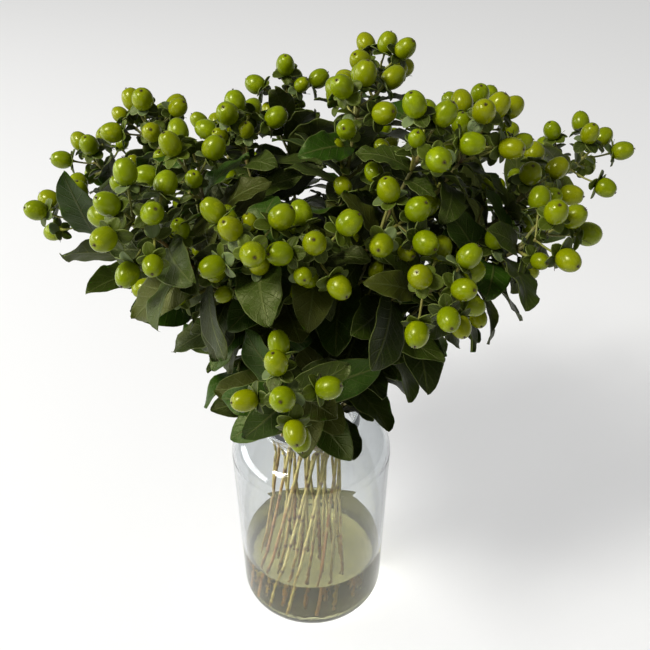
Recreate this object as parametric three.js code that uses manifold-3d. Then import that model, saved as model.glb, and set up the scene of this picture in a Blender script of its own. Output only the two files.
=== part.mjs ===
// A bunch of hypericum (St John's wort) berry stems in a clear glass vase with water.
// Millimetres, +Z up. The origin is the centre of the vase's flat base, on the surface it stands on.
// Every stem is a cane with its leaves (stem_NN) that carries one spray of berries (berries_NN).

import * as THREE from 'three';
import { mergeVertices } from 'three/addons/utils/BufferGeometryUtils.js';
import Module from 'manifold-3d';

const wasm = await Module();
wasm.setup();

// ---- driving dimensions (mm) ----

const GAP = 0.3; // between neighbouring solids
const TURN = 2 * Math.PI;

const VASE = {
  baseRadius: 51, // at the top of the rounded base corner
  cornerRadius: 13.5,
  shoulderRadius: 54,
  shoulderStart: 131, // height where the wall turns inwards
  shoulderTop: 151,
  neckRadius: 30.5,
  lipRadius: 33,
  height: 160,
  wall: 2.6,
  floor: 5,
  sides: 24,
};
const WATER_LEVEL = 45.5;

const CANE_RADIUS = 1.7;
const CANE_SIDES = 4;
const HOLE_SIDES = 5;
const CANE_STEPS = { straight: 1, bend: 7 };
const NECK_LEVEL = 156; // the canes are straight below this height
const NECK_RINGS = [0, 11.5, 21];
const FOOT_SPREAD = 1.5; // foot circle over neck circle
const FOOT_TWIST = 0.85; // radians, so that the canes are closest together at the neck
const FOOT_LOOSE = { turn: 0.13, spread: 0.07 }; // how far a foot may be off its regular place
const FOOT_SHIFT = [-10, -7]; // the feet lean to the front left
const SLOT_TURN = -0.35; // the canes go on turning above the neck

const BERRY = { radius: 6.1, length: 14.5, sepal: 8.7 };
const BERRY_SIDES = 5;
const BERRY_SPACING = 16; // between the middles of a spray's berries
const PEDICEL_RADIUS = 1;
const PEDUNCLE_RADIUS = 2;
const TERMINAL = { height: 19, pedicel: 5 };
// Opposite pairs of a spray, from its top down: height on the peduncle, tilt from it, pedicel length.
const PAIRS = [
  { height: 13, tilt: 0.72, pedicel: 16 },
  { height: 7, tilt: 1.1, pedicel: 16.5 },
  { height: 2, tilt: 1.42, pedicel: 18 },
];
const FORK_TURN = 0.85; // radians between the two berries of a forked branch

const LEAF = { length: 48, width: 25.5, thickness: 1.4, fold: 0.16, wave: 1.8, waves: 1.5 };
const LEAF_STATIONS = [0.13, 0.47, 0.82];
const BRACT_STATIONS = [0.2, 0.68];
const LEAF_SPACING = 28.5; // along the cane, between opposite pairs
const LEAF_PAIRS = [3, 3, 7]; // on a cane of each ring: the inner ones are bare lower down
const LEAF_LOWEST = 168;
const LEAF_TRIES = 24;
const BRACT_SCALE = 0.72; // the pair right below a spray
const LOW_SCALE = 1.08;
const LOW_LEVEL = 3; // from this pair down, the leaves are large and hang
// No leaf hangs below this bowl: its height in the middle, and its rise per distance from there.
const BOWL = { low: 98, slope: 1.15 };

// Clearance balls, which keep the pieces of different nodes apart.
const BALL = { cane: 2.3, pedicel: 1.5, berry: 8.4, leaf: 4.2 };
const LEAF_BALLS = {
  along: [0.17, 0.3, 0.43, 0.56, 0.69, 0.82, 0.96],
  across: [-0.8, -0.27, 0.27, 0.8],
};
const CELL = 20;

// The stems: where each spray is centred, how many berries it has, and how far its axis
// leans from the vertical (radians). The ring says how far from the middle the cane
// passes the neck, and each ring is listed anticlockwise. A spin turns a spray round its axis.
const STEMS = [
  { ring: 2, head: [133, 14, 319], berries: 5, lean: 0.8 },
  { ring: 2, head: [180, 78, 313], berries: 7, lean: 0.95 },
  { ring: 2, head: [116, 128, 322], berries: 5, lean: 0.75 },
  { ring: 2, head: [44, 158, 290], berries: 5, lean: 0.9 },
  { ring: 2, head: [-16, 112, 347], berries: 5, lean: 0.45 },
  { ring: 2, head: [-66, 150, 296], berries: 5, lean: 0.9 },
  { ring: 2, head: [-146, 92, 304], berries: 5, lean: 0.9, spin: 2.1 },
  { ring: 2, head: [-153, 42, 287], berries: 5, lean: 0.95 },
  { ring: 2, head: [-76, -26, 282], berries: 4, lean: 1.0 },
  { ring: 2, head: [-88, -62, 336], berries: 7, lean: 0.7, spin: 2.3 },
  { ring: 2, head: [-31, -72, 327], berries: 5, lean: 0.75, spin: 2.1 },
  { ring: 2, head: [-10, -110, 262], berries: 7, lean: 0.95, spin: 1.8 },
  { ring: 2, head: [70, -76, 302], berries: 8, lean: 1.1, spin: 2.0 },
  { ring: 2, head: [129, -42, 318], berries: 5, lean: 0.85 },
  { ring: 1, head: [93, -10, 362], berries: 6, lean: 0.5, spin: 1.0 },
  { ring: 1, head: [44, 84, 368], berries: 6, lean: 0.35 },
  { ring: 1, head: [-41, 40, 345], berries: 5, lean: 0.25 },
  { ring: 1, head: [-103, 66, 340], berries: 8, lean: 0.6 },
  { ring: 1, head: [-66, -18, 344], berries: 5, lean: 0.4 },
  { ring: 1, head: [5, -68, 320], berries: 5, lean: 0.8, spin: 1.0 },
  { ring: 1, head: [50, -48, 326], berries: 5, lean: 0.8, spin: 1.9 },
  { ring: 1, head: [62, -34, 367], berries: 5, lean: 0.4, spin: 1.5 },
  { ring: 0, head: [28, 0, 374], berries: 5, lean: 0.15 },
];

// Leaves that have a place of their own: the stem's number, how far up its bend the leaf grows,
// where its tip is, which way its upper face looks, its width and its droop.
const CHOSEN_LEAVES = [
  { stem: 2, at: 0.68, tip: [99, 49, 325], face: [-0.6, 0.8, 0.4], width: 22, droop: 0.3 },
  { stem: 8, at: 0.98, tip: [-139, 10, 327], face: [0, -0.9, 0.4], width: 23, droop: 0.2 },
  { stem: 8, at: 0.84, tip: [-142, -8, 284], face: [-0.3, 0.9, 0.3], width: 22, droop: 0.4 },
  { stem: 8, at: 0.74, tip: [-126, -26, 269], face: [0, -0.6, 0.8], width: 23, droop: 0.5 },
  { stem: 8, at: 0.56, tip: [-104, -22, 255], face: [0, -0.8, 0.5], width: 29, droop: 0.4 },
  { stem: 8, at: 0.57, tip: [-90, 44, 203], face: [0, 0.9, -0.3], width: 20, droop: 0.6 },
  { stem: 10, at: 0.73, tip: [-41, -88, 267], face: [-0.8, -0.5, 0.3], width: 20, droop: 0.5 },
  { stem: 12, at: 0.22, tip: [25, -68, 181], face: [0, -0.8, 0.6], width: 24, droop: 0.4 },
  { stem: 13, at: 0.82, tip: [33, -95, 266], face: [0.4, -0.8, 0.2], width: 27, droop: 0.4 },
  { stem: 13, at: 0.38, tip: [41, -70, 227], face: [0.4, -0.8, 0.3], width: 24, droop: 0.4 },
  { stem: 14, at: 0.52, tip: [66, -68, 229], face: [0.4, -0.6, 0.6], width: 28, droop: 0.5 },
  { stem: 19, at: 0.68, tip: [-77, 25, 283], face: [-0.5, -0.6, 0.6], width: 20, droop: 0.4 },
  { stem: 19, at: 0.4, tip: [-7, -20, 283], face: [0.6, -0.5, 0.6], width: 20, droop: 0.3 },
  { stem: 21, at: 0.69, tip: [15, -72, 258], face: [-0.4, -0.7, 0.6], width: 28, droop: 0.4 },
];

// ---- small helpers ----

const UP = new THREE.Vector3(0, 0, 1);
const vec = (x, y, z) => new THREE.Vector3(x, y, z);

// A repeatable draw between 0 and 1 (mulberry32).
function drawsFrom(seed) {
  let state = seed >>> 0;
  return () => {
    state = (state + 0x6d2b79f5) >>> 0;
    let t = state;
    t = Math.imul(t ^ (t >>> 15), t | 1);
    t ^= t + Math.imul(t ^ (t >>> 7), t | 61);
    return ((t ^ (t >>> 14)) >>> 0) / 4294967296;
  };
}

const between = (draw, low, high) => low + (high - low) * draw();

// Two unit vectors across a direction.
function acrossOf(direction) {
  const guide = Math.abs(direction.z) > 0.9 ? vec(1, 0, 0) : UP;
  const u = guide.clone().cross(direction).normalize();
  const v = direction.clone().cross(u);
  return [u, v];
}

// The direction at a tilt from an axis, turned by an angle round it.
function tilted(axis, tilt, turn) {
  const [u, v] = acrossOf(axis);
  const side = u.multiplyScalar(Math.cos(turn)).addScaledVector(v, Math.sin(turn));
  return side.multiplyScalar(Math.sin(tilt)).addScaledVector(axis, Math.cos(tilt));
}

// ---- the room that is taken ----

class Room {
  constructor() {
    this.cells = new Map();
  }

  key(x, y, z) {
    return `${x},${y},${z}`;
  }

  add(balls) {
    for (const ball of balls) {
      const at = ball.at.clone().divideScalar(CELL).floor();
      const key = this.key(at.x, at.y, at.z);
      if (!this.cells.has(key)) this.cells.set(key, []);
      this.cells.get(key).push(ball);
    }
  }

  // Whether all the balls are clear of those of other owners.
  isClear(balls, owner) {
    for (const ball of balls) {
      const at = ball.at.clone().divideScalar(CELL).floor();
      for (let x = at.x - 1; x <= at.x + 1; x++) {
        for (let y = at.y - 1; y <= at.y + 1; y++) {
          for (let z = at.z - 1; z <= at.z + 1; z++) {
            for (const other of this.cells.get(this.key(x, y, z)) ?? []) {
              const reach = ball.radius + other.radius;
              if (other.owner !== owner && other.at.distanceTo(ball.at) < reach) return false;
            }
          }
        }
      }
    }
    return true;
  }
}

function ballsAlong(from, to, radius, owner) {
  const count = Math.max(1, Math.ceil(from.distanceTo(to) / (2 * radius)));
  const balls = [];
  for (let i = 0; i <= count; i++) {
    balls.push({ at: from.clone().lerp(to, i / count), radius, owner });
  }
  return balls;
}

// ---- the vase and its water ----

// The inner corner's arc at the floor: height of the glass under a point that far from the axis.
const innerCorner = VASE.cornerRadius - VASE.wall;
const innerFlat = VASE.baseRadius - VASE.cornerRadius;
function floorUnder(radius) {
  const over = Math.min(Math.max(0, radius - innerFlat), innerCorner * 0.99);
  return VASE.floor + innerCorner - Math.sqrt(innerCorner ** 2 - over ** 2);
}

const outerWallAt = (z) => {
  const slope = (VASE.shoulderRadius - VASE.baseRadius) / (VASE.shoulderStart - VASE.cornerRadius);
  return VASE.baseRadius + slope * (z - VASE.cornerRadius);
};

// Points on a quarter ellipse, from its start to its end.
function quarter(centre, radii, fromTurn, toTurn, count) {
  const points = [];
  for (let i = 0; i <= count; i++) {
    const turn = THREE.MathUtils.lerp(fromTurn, toTurn, i / count);
    points.push(new THREE.Vector2(
      centre[0] + radii[0] * Math.cos(turn),
      centre[1] + radii[1] * Math.sin(turn),
    ));
  }
  return points;
}

function vaseGeometry() {
  const right = Math.PI / 2;
  const { wall, neckRadius, lipRadius, height, shoulderTop } = VASE;
  const shoulder = [VASE.shoulderRadius - neckRadius, shoulderTop - VASE.shoulderStart];
  const innerShoulder = [shoulder[0], shoulder[1] - wall];
  const lipMid = height - 3;
  const profile = [
    new THREE.Vector2(0, 0),
    ...quarter([innerFlat, VASE.cornerRadius], [VASE.cornerRadius, VASE.cornerRadius], -right, 0, 3),
    ...quarter([neckRadius, VASE.shoulderStart], shoulder, 0, right, 4),
    new THREE.Vector2(lipRadius, lipMid),
    new THREE.Vector2(lipRadius - wall / 2, height),
    new THREE.Vector2(neckRadius - wall, height - 1),
    ...quarter([neckRadius - wall, VASE.shoulderStart], innerShoulder, right, 0, 4),
    ...quarter([innerFlat, VASE.floor + innerCorner], [innerCorner, innerCorner], 0, -right, 3),
    new THREE.Vector2(0, VASE.floor),
  ];
  return new THREE.LatheGeometry(profile, VASE.sides).rotateX(Math.PI / 2);
}

function waterGeometry() {
  const corner = innerCorner - GAP;
  const surface = outerWallAt(WATER_LEVEL) - VASE.wall - GAP;
  const profile = [
    new THREE.Vector2(0, VASE.floor + GAP),
    ...quarter([innerFlat, VASE.floor + innerCorner], [corner, corner], -Math.PI / 2, 0, 3),
    new THREE.Vector2(surface, WATER_LEVEL),
    new THREE.Vector2(0, WATER_LEVEL),
  ];
  return new THREE.LatheGeometry(profile, VASE.sides).rotateX(Math.PI / 2);
}

// ---- where the canes run ----

// Its steps are spaced by its own parameter, so that most of them lie in the bend.
class CaneCurve extends THREE.Curve {
  constructor(foot, neck, bend) {
    super();
    this.foot = foot;
    this.neck = neck;
    this.bend = bend;
    this.straight = CANE_STEPS.straight / (CANE_STEPS.straight + CANE_STEPS.bend);
  }

  getPoint(t, target = new THREE.Vector3()) {
    if (t < this.straight) return target.lerpVectors(this.foot, this.neck, t / this.straight);
    return this.bend.getPoint((t - this.straight) / (1 - this.straight), target);
  }

  getPointAt(u, target) {
    return this.getPoint(u, target);
  }

  getTangentAt(u, target) {
    return this.getTangent(u, target);
  }
}

// The cane of a stem: foot in the water, a place in the neck, and a bend out to its spray.
function planCane(stem, index, slot, slots) {
  const draw = drawsFrom(300 + index);
  const head = vec(...stem.head);
  const outward = vec(head.x, head.y, 0).normalize();
  const axis = outward.multiplyScalar(Math.sin(stem.lean)).addScaledVector(UP, Math.cos(stem.lean));
  const top = head.clone().addScaledVector(axis, -TERMINAL.height);

  const ringRadius = NECK_RINGS[stem.ring];
  const turn = (slot / slots) * TURN + SLOT_TURN;
  const neck = vec(ringRadius * Math.cos(turn), ringRadius * Math.sin(turn), NECK_LEVEL);
  const footTurn = turn - FOOT_TWIST + between(draw, -FOOT_LOOSE.turn, FOOT_LOOSE.turn);
  const footRadius = ringRadius * (FOOT_SPREAD + between(draw, -FOOT_LOOSE.spread, FOOT_LOOSE.spread));
  const foot = vec(
    footRadius * Math.cos(footTurn) + FOOT_SHIFT[0],
    footRadius * Math.sin(footTurn) + FOOT_SHIFT[1],
    0,
  );
  foot.z = floorUnder(Math.hypot(foot.x, foot.y) + CANE_RADIUS) + 3 * GAP;

  const rise = neck.clone().sub(foot).normalize();
  const reach = neck.distanceTo(top);
  const bend = new THREE.CubicBezierCurve3(
    neck,
    neck.clone().addScaledVector(rise, reach * 0.42),
    top.clone().addScaledVector(axis, -reach * 0.3),
    top,
  );
  return { foot, neck, rise, bend, top, axis, reach };
}

const plans = STEMS.map((stem, index) => {
  const ringMates = STEMS.filter((other) => other.ring === stem.ring);
  return { stem, index, ...planCane(stem, index, ringMates.indexOf(stem), ringMates.length) };
});

const room = new Room();
const caneOwner = (plan) => `cane ${plan.index}`;
for (const plan of plans) {
  room.add(ballsAlong(plan.foot, plan.neck, BALL.cane, caneOwner(plan)));
  const bends = 30;
  for (let i = 0; i < bends; i++) {
    const from = plan.bend.getPoint(i / bends);
    const to = plan.bend.getPoint((i + 1) / bends);
    room.add(ballsAlong(from, to, BALL.cane, caneOwner(plan)));
  }
}

// ---- where the berries sit ----

// The branches of a spray below its end berry: pairs from the top down, and when these are
// full, the branches of the middle pair fork.
function branchesOf(count) {
  const branches = [];
  for (let i = 0; i < count - 1; i++) {
    const level = Math.floor(i / 2);
    const forked = level >= PAIRS.length;
    const pair = PAIRS[forked ? 1 : level];
    const turn = (i % 2) * Math.PI + ((forked ? 1 : level) * Math.PI) / 2;
    branches.push({ ...pair, turn: forked ? turn + FORK_TURN : turn });
  }
  return branches;
}

function planSpray(plan) {
  const draw = drawsFrom(100 + plan.index);
  const owner = caneOwner(plan);
  const { top, axis, stem } = plan;
  const start = top.clone().addScaledVector(axis, GAP);
  const tip = top.clone().addScaledVector(axis, TERMINAL.height);
  const spin = (stem.spin ?? 0) + between(draw, 0, Math.PI);
  const berries = [];
  room.add(ballsAlong(start, tip, BALL.pedicel, owner));

  const wanted = [{ height: TERMINAL.height, tilt: 0.06, turn: 0, pedicel: TERMINAL.pedicel }];
  wanted.push(...branchesOf(stem.berries));
  for (const branch of wanted) {
    const root = top.clone().addScaledVector(axis, branch.height);
    for (let attempt = 0; attempt < 12; attempt++) {
      const loose = 0.12 + 0.04 * attempt;
      const tilt = branch.tilt + between(draw, -loose, loose);
      const turn = spin + branch.turn + between(draw, -loose, loose);
      const pedicel = branch.pedicel * between(draw, 0.9, 1.12);
      const along = tilted(axis, tilt, turn);
      const seat = root.clone().addScaledVector(along, pedicel);
      const size = between(draw, 0.92, 1.06);
      const centre = seat.clone().addScaledVector(along, BERRY.length * 0.42);
      const own = berries.every((berry) => berry.centre.distanceTo(centre) > BERRY_SPACING);
      const ball = { at: centre, radius: BALL.berry, owner };
      const balls = [ball, ...ballsAlong(root, seat, BALL.pedicel, owner)];
      if (!own || !room.isClear(balls, owner)) continue;
      room.add(balls);
      berries.push({ seat, along, size, centre, pedicel, spin: between(draw, 0, TURN) });
      break;
    }
  }
  return { start, tip, berries };
}

const sprays = plans.map(planSpray);

// ---- where the leaves sit ----

// Half the blade's width along it: a broad base, oblong, with a blunt tip.
const bladeOutline = (s) => Math.max(0, Math.sin(Math.PI * s ** 0.85)) ** 0.6;

// A point of a blade: s runs from root to tip, w across from -1 to 1, lift is off its middle surface.
function bladePoint(leaf, s, w, lift) {
  const angle = leaf.droop * s;
  const run = (leaf.length * Math.sin(angle)) / leaf.droop;
  const fall = (leaf.length * (1 - Math.cos(angle))) / leaf.droop;
  const normal = leaf.normal.clone().multiplyScalar(Math.cos(angle))
    .addScaledVector(leaf.along, Math.sin(angle));
  const half = (leaf.width / 2) * bladeOutline(s);
  const waving = LEAF.wave * Math.sin(TURN * LEAF.waves * s + leaf.phase + (w > 0 ? 1.3 : 0)) * s;
  const rise = lift + Math.abs(w) * (LEAF.fold * half + waving);
  return leaf.root.clone()
    .addScaledVector(leaf.along, run)
    .addScaledVector(leaf.normal, -fall)
    .addScaledVector(leaf.side, w * half)
    .addScaledVector(normal, rise);
}

function ballsOfLeaf(leaf, owner) {
  const balls = [];
  for (const s of LEAF_BALLS.along) {
    for (const w of LEAF_BALLS.across) {
      balls.push({ at: bladePoint(leaf, s, w, 0), radius: BALL.leaf, owner });
    }
  }
  return balls;
}

const isInBowl = (point) => point.z > BOWL.low + BOWL.slope * Math.hypot(point.x, point.y);

// Whether a point is clear of the vase's glass, with a ball's room.
function isOffGlass(point, radius) {
  const far = Math.hypot(point.x, point.y);
  if (point.z > VASE.height + radius) return true;
  if (point.z > VASE.shoulderTop) return far > VASE.lipRadius + radius;
  const drop = Math.max(0, point.z - VASE.shoulderStart) / (VASE.shoulderTop - VASE.shoulderStart);
  const glass = THREE.MathUtils.lerp(VASE.shoulderRadius, VASE.lipRadius + 6, drop ** 2);
  return far > glass + radius;
}

function planLeaf(plan, at, level, half, draw) {
  const rootPoint = plan.bend.getPoint(at);
  const ahead = plan.bend.getTangent(at);
  const owner = caneOwner(plan);
  const scale = level === 0 ? BRACT_SCALE : level < LOW_LEVEL ? 1 : LOW_SCALE;
  for (let attempt = 0; attempt < LEAF_TRIES; attempt++) {
    const loose = 0.25 + 0.07 * attempt;
    const turn = half * Math.PI + (level * Math.PI) / 2 + between(draw, -loose, loose);
    const tilt = between(draw, 0.85, 1.35);
    const along = tilted(ahead, tilt, plan.index + turn);
    const normal = tilted(ahead, tilt - Math.PI / 2, plan.index + turn);
    const roll = between(draw, -0.5, 0.5);
    normal.applyAxisAngle(along, roll);
    const leaf = {
      root: rootPoint,
      along,
      normal,
      side: along.clone().cross(normal),
      length: LEAF.length * scale * between(draw, 0.78, 1.14),
      width: LEAF.width * scale * between(draw, 0.82, 1.12),
      droop: between(draw, 0.35, 1.15) + (level < LOW_LEVEL ? 0 : 0.2),
      phase: between(draw, 0, TURN),
      stations: level === 0 ? BRACT_STATIONS : LEAF_STATIONS,
    };
    const balls = ballsOfLeaf(leaf, `${owner} leaf ${level} ${half}`);
    const inPlace = balls.every(({ at, radius }) => isInBowl(at) && isOffGlass(at, radius));
    const clearOfCane = balls.slice(ROOT_BALLS).every((ball) => ball.at.distanceTo(rootPoint) > 6);
    if (!inPlace || !clearOfCane || !isClearLeaf(balls, owner)) continue;
    room.add(balls);
    return leaf;
  }
  return null;
}

// A leaf's root may lie against its own cane, and nothing else.
const ROOT_BALLS = LEAF_BALLS.across.length;
function isClearLeaf(balls, owner) {
  return room.isClear(balls.slice(0, ROOT_BALLS), owner) && room.isClear(balls.slice(ROOT_BALLS), '');
}

// The blade's chord runs from its root to the chosen tip, and its droop bends it evenly over that.
function chosenLeaf(chosen, plan) {
  const root = plan.bend.getPoint(chosen.at);
  const chord = vec(...chosen.tip).sub(root);
  const reach = chord.length();
  chord.normalize();
  const facing = vec(...chosen.face);
  facing.addScaledVector(chord, -facing.dot(chord)).normalize();
  const half = chosen.droop / 2;
  const along = chord.clone().multiplyScalar(Math.cos(half)).addScaledVector(facing, Math.sin(half));
  const normal = facing.clone().multiplyScalar(Math.cos(half)).addScaledVector(chord, -Math.sin(half));
  return {
    root,
    along,
    normal,
    side: along.clone().cross(normal),
    length: (reach * half) / Math.sin(half),
    width: chosen.width,
    droop: chosen.droop,
    phase: chosen.tip[0],
    stations: LEAF_STATIONS,
  };
}

const leafDraws = plans.map((plan) => drawsFrom(500 + plan.index));
const leaves = plans.map(() => []);
for (const chosen of CHOSEN_LEAVES) {
  const plan = plans[chosen.stem - 1];
  const leaf = chosenLeaf(chosen, plan);
  room.add(ballsOfLeaf(leaf, `chosen leaf at ${chosen.tip}`));
  leaves[plan.index].push(leaf);
}
for (let level = 0; level < Math.max(...LEAF_PAIRS); level++) {
  for (const plan of plans) {
    if (level >= LEAF_PAIRS[plan.stem.ring]) continue;
    const at = 1 - (6 + level * LEAF_SPACING) / (plan.reach * 1.06);
    if (at < 0.02 || plan.bend.getPoint(at).z < LEAF_LOWEST) continue;
    for (const half of [0, 1]) {
      const leaf = planLeaf(plan, at, level, half, leafDraws[plan.index]);
      if (leaf) leaves[plan.index].push(leaf);
    }
  }
}

// ---- solids ----

function solidOf(geometry) {
  geometry.deleteAttribute('normal');
  geometry.deleteAttribute('uv');
  const merged = mergeVertices(geometry, 1e-4);
  const mesh = new wasm.Mesh({
    numProp: 3,
    vertProperties: Float32Array.from(merged.attributes.position.array),
    triVerts: Uint32Array.from(merged.index.array),
  });
  return new wasm.Manifold(mesh);
}

function geometryOf(solid) {
  const mesh = solid.getMesh();
  const geometry = new THREE.BufferGeometry();
  geometry.setAttribute('position', new THREE.BufferAttribute(mesh.vertProperties, 3));
  geometry.setIndex(new THREE.BufferAttribute(mesh.triVerts, 1));
  geometry.computeVertexNormals();
  return geometry;
}

function geometryFrom(points, faces) {
  const geometry = new THREE.BufferGeometry();
  const numbers = points.flatMap((point) => point.toArray());
  geometry.setAttribute('position', new THREE.Float32BufferAttribute(numbers, 3));
  geometry.setIndex(faces.flat());
  return geometry;
}

function polygonShape(radius, sides) {
  const shape = new THREE.Shape();
  for (let i = 0; i < sides; i++) {
    const turn = (i / sides) * TURN;
    const point = [radius * Math.cos(turn), radius * Math.sin(turn)];
    if (i === 0) shape.moveTo(...point);
    else shape.lineTo(...point);
  }
  return shape;
}

function rodSolid(from, to, radius, sides) {
  const depth = from.distanceTo(to);
  const geometry = new THREE.ExtrudeGeometry(polygonShape(radius, sides), { depth, bevelEnabled: false });
  const facing = new THREE.Quaternion().setFromUnitVectors(UP, to.clone().sub(from).normalize());
  geometry.applyQuaternion(facing).translate(from.x, from.y, from.z);
  return solidOf(geometry);
}

function caneSolid(plan) {
  const extrudePath = new CaneCurve(plan.foot, plan.neck, plan.bend);
  const section = polygonShape(CANE_RADIUS, CANE_SIDES);
  const steps = CANE_STEPS.straight + CANE_STEPS.bend;
  return solidOf(new THREE.ExtrudeGeometry(section, { extrudePath, steps, bevelEnabled: false }));
}

// A blade with a keel along its middle that thins to its edges, split alike on both faces.
function leafSolid(leaf) {
  const points = [bladePoint(leaf, 0, 0, 0), bladePoint(leaf, 1, 0, 0)];
  const lift = LEAF.thickness / 2;
  const rows = [];
  for (const s of leaf.stations) {
    const first = points.length;
    rows.push({ left: first, right: first + 1, upper: first + 2, lower: first + 3 });
    points.push(bladePoint(leaf, s, -1, 0), bladePoint(leaf, s, 1, 0));
    points.push(bladePoint(leaf, s, 0, lift), bladePoint(leaf, s, 0, -lift));
  }
  const faces = [];
  const both = (a, b, c, aLow, bLow, cLow) => faces.push([a, b, c], [aLow, cLow, bLow]);
  const [root, tip] = [0, 1];
  const start = rows[0];
  both(root, start.upper, start.left, root, start.lower, start.left);
  both(root, start.right, start.upper, root, start.right, start.lower);
  for (let i = 0; i + 1 < rows.length; i++) {
    const [a, b] = [rows[i], rows[i + 1]];
    both(a.left, a.upper, b.left, a.left, a.lower, b.left);
    both(a.upper, b.upper, b.left, a.lower, b.lower, b.left);
    both(a.upper, a.right, b.upper, a.lower, a.right, b.lower);
    both(a.right, b.right, b.upper, a.right, b.right, b.lower);
  }
  const end = rows[rows.length - 1];
  both(tip, end.left, end.upper, tip, end.left, end.lower);
  both(tip, end.upper, end.right, tip, end.lower, end.right);
  return solidOf(geometryFrom(points, faces));
}

// Triangles between two rings of points that go round the same way; ring: { start, count }.
function stitch(lower, upper) {
  const faces = [];
  let [i, j] = [0, 0];
  while (i < lower.count || j < upper.count) {
    const here = lower.start + (i % lower.count);
    const above = upper.start + (j % upper.count);
    if ((i + 1) / lower.count <= (j + 1) / upper.count) {
      i += 1;
      faces.push([here, lower.start + (i % lower.count), above]);
    } else {
      j += 1;
      faces.push([here, upper.start + (j % upper.count), above]);
    }
  }
  return faces;
}

// An egg-shaped berry on its pedicel, with a calyx of five pointed, spreading sepals.
function berrySolid(berry) {
  const { radius, length, sepal } = BERRY;
  const notch = radius * 0.66;
  const layers = [
    { count: 3, far: () => PEDICEL_RADIUS, height: () => -berry.pedicel / length },
    { count: 3, far: () => PEDICEL_RADIUS, height: () => -0.05 },
    { count: 10, far: (i) => (i % 2 ? notch : sepal), height: (i) => (i % 2 ? 0.08 : -0.1) },
    { count: BERRY_SIDES, far: () => radius * 1.12, height: () => 0.38 },
    { count: BERRY_SIDES, far: () => radius * 0.81, height: () => 0.8 },
  ];
  const points = [];
  const rings = layers.map(({ count, far, height }) => {
    const ring = { start: points.length, count };
    for (let i = 0; i < count; i++) {
      const turn = (i / count) * TURN;
      points.push(vec(far(i) * Math.cos(turn), far(i) * Math.sin(turn), length * height(i)));
    }
    return ring;
  });
  const faces = [[2, 1, 0]];
  for (let k = 0; k + 1 < rings.length; k++) faces.push(...stitch(rings[k], rings[k + 1]));
  const crown = rings[rings.length - 1];
  const tip = points.push(vec(0, 0, length)) - 1;
  for (let i = 0; i < crown.count; i++) {
    faces.push([crown.start + i, crown.start + ((i + 1) % crown.count), tip]);
  }
  const facing = new THREE.Quaternion().setFromUnitVectors(UP, berry.along);
  const geometry = geometryFrom(points, faces).rotateZ(berry.spin).scale(berry.size, berry.size, 1);
  geometry.applyQuaternion(facing).translate(berry.seat.x, berry.seat.y, berry.seat.z);
  return solidOf(geometry);
}

function fuse(solids) {
  return solids.reduce((whole, solid) => whole.add(solid));
}

// ---- the assembly ----

const MATERIALS = {
  glass: { color: 0xe4e4ee, roughness: 0.05, metalness: 0, transparent: true, opacity: 0.35 },
  water: { color: 0xc8ccb4, roughness: 0.05, metalness: 0, transparent: true, opacity: 0.5 },
  foliage: { color: 0x24361c, roughness: 0.55, metalness: 0 },
  berry: { color: 0x9bb51e, roughness: 0.3, metalness: 0 },
};

const bunch = new THREE.Group();
function addNode(name, geometry, finish) {
  const mesh = new THREE.Mesh(geometry, new THREE.MeshStandardMaterial(MATERIALS[finish]));
  mesh.name = name;
  bunch.add(mesh);
}

addNode('vase', vaseGeometry(), 'glass');

let water = solidOf(waterGeometry());
for (const plan of plans) {
  const under = plan.foot.clone().addScaledVector(plan.rise, -2 * GAP);
  const over = plan.foot.clone().addScaledVector(plan.rise, 1.5 * WATER_LEVEL);
  water = water.subtract(rodSolid(under, over, CANE_RADIUS + 2.8 * GAP, HOLE_SIDES));
}
addNode('water', geometryOf(water), 'water');

for (const plan of plans) {
  const number = String(plan.index + 1).padStart(2, '0');
  const foliage = leaves[plan.index].map(leafSolid);
  addNode(`stem_${number}`, geometryOf(fuse([caneSolid(plan), ...foliage])), 'foliage');
  const spray = sprays[plan.index];
  const peduncle = rodSolid(spray.start, spray.tip, PEDUNCLE_RADIUS, 4);
  addNode(`berries_${number}`, geometryOf(fuse([peduncle, ...spray.berries.map(berrySolid)])), 'berry');
}

export default bunch;
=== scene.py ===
"""A bunch of hypericum berry stems in a clear glass vase with water.

The layout is the one that the CAD solids were made by: the same named sizes (in mm), the same stems
and the same seeded draws, so every fine piece stands where its solid does. Meshes are in metres.
"""

import math
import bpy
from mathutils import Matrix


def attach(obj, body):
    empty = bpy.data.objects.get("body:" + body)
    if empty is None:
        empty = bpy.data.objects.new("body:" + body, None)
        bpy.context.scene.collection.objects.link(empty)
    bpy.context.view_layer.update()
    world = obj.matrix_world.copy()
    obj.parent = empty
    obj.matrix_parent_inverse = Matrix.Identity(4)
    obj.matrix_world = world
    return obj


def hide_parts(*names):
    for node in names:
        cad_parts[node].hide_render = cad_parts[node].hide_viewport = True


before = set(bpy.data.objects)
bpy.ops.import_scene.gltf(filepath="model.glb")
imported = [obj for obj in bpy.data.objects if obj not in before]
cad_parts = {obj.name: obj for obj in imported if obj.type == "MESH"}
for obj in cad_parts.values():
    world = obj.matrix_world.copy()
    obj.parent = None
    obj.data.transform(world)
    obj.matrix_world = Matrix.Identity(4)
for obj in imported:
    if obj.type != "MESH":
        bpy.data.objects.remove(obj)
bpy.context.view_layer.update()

from types import SimpleNamespace as Named

import bpy
import numpy as np
from mathutils import Vector

MM = 0.001
TURN = 2 * math.pi
UP = np.array([0.0, 0.0, 1.0])

# ---- sizes of the CAD model (mm and radians) ----

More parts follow.
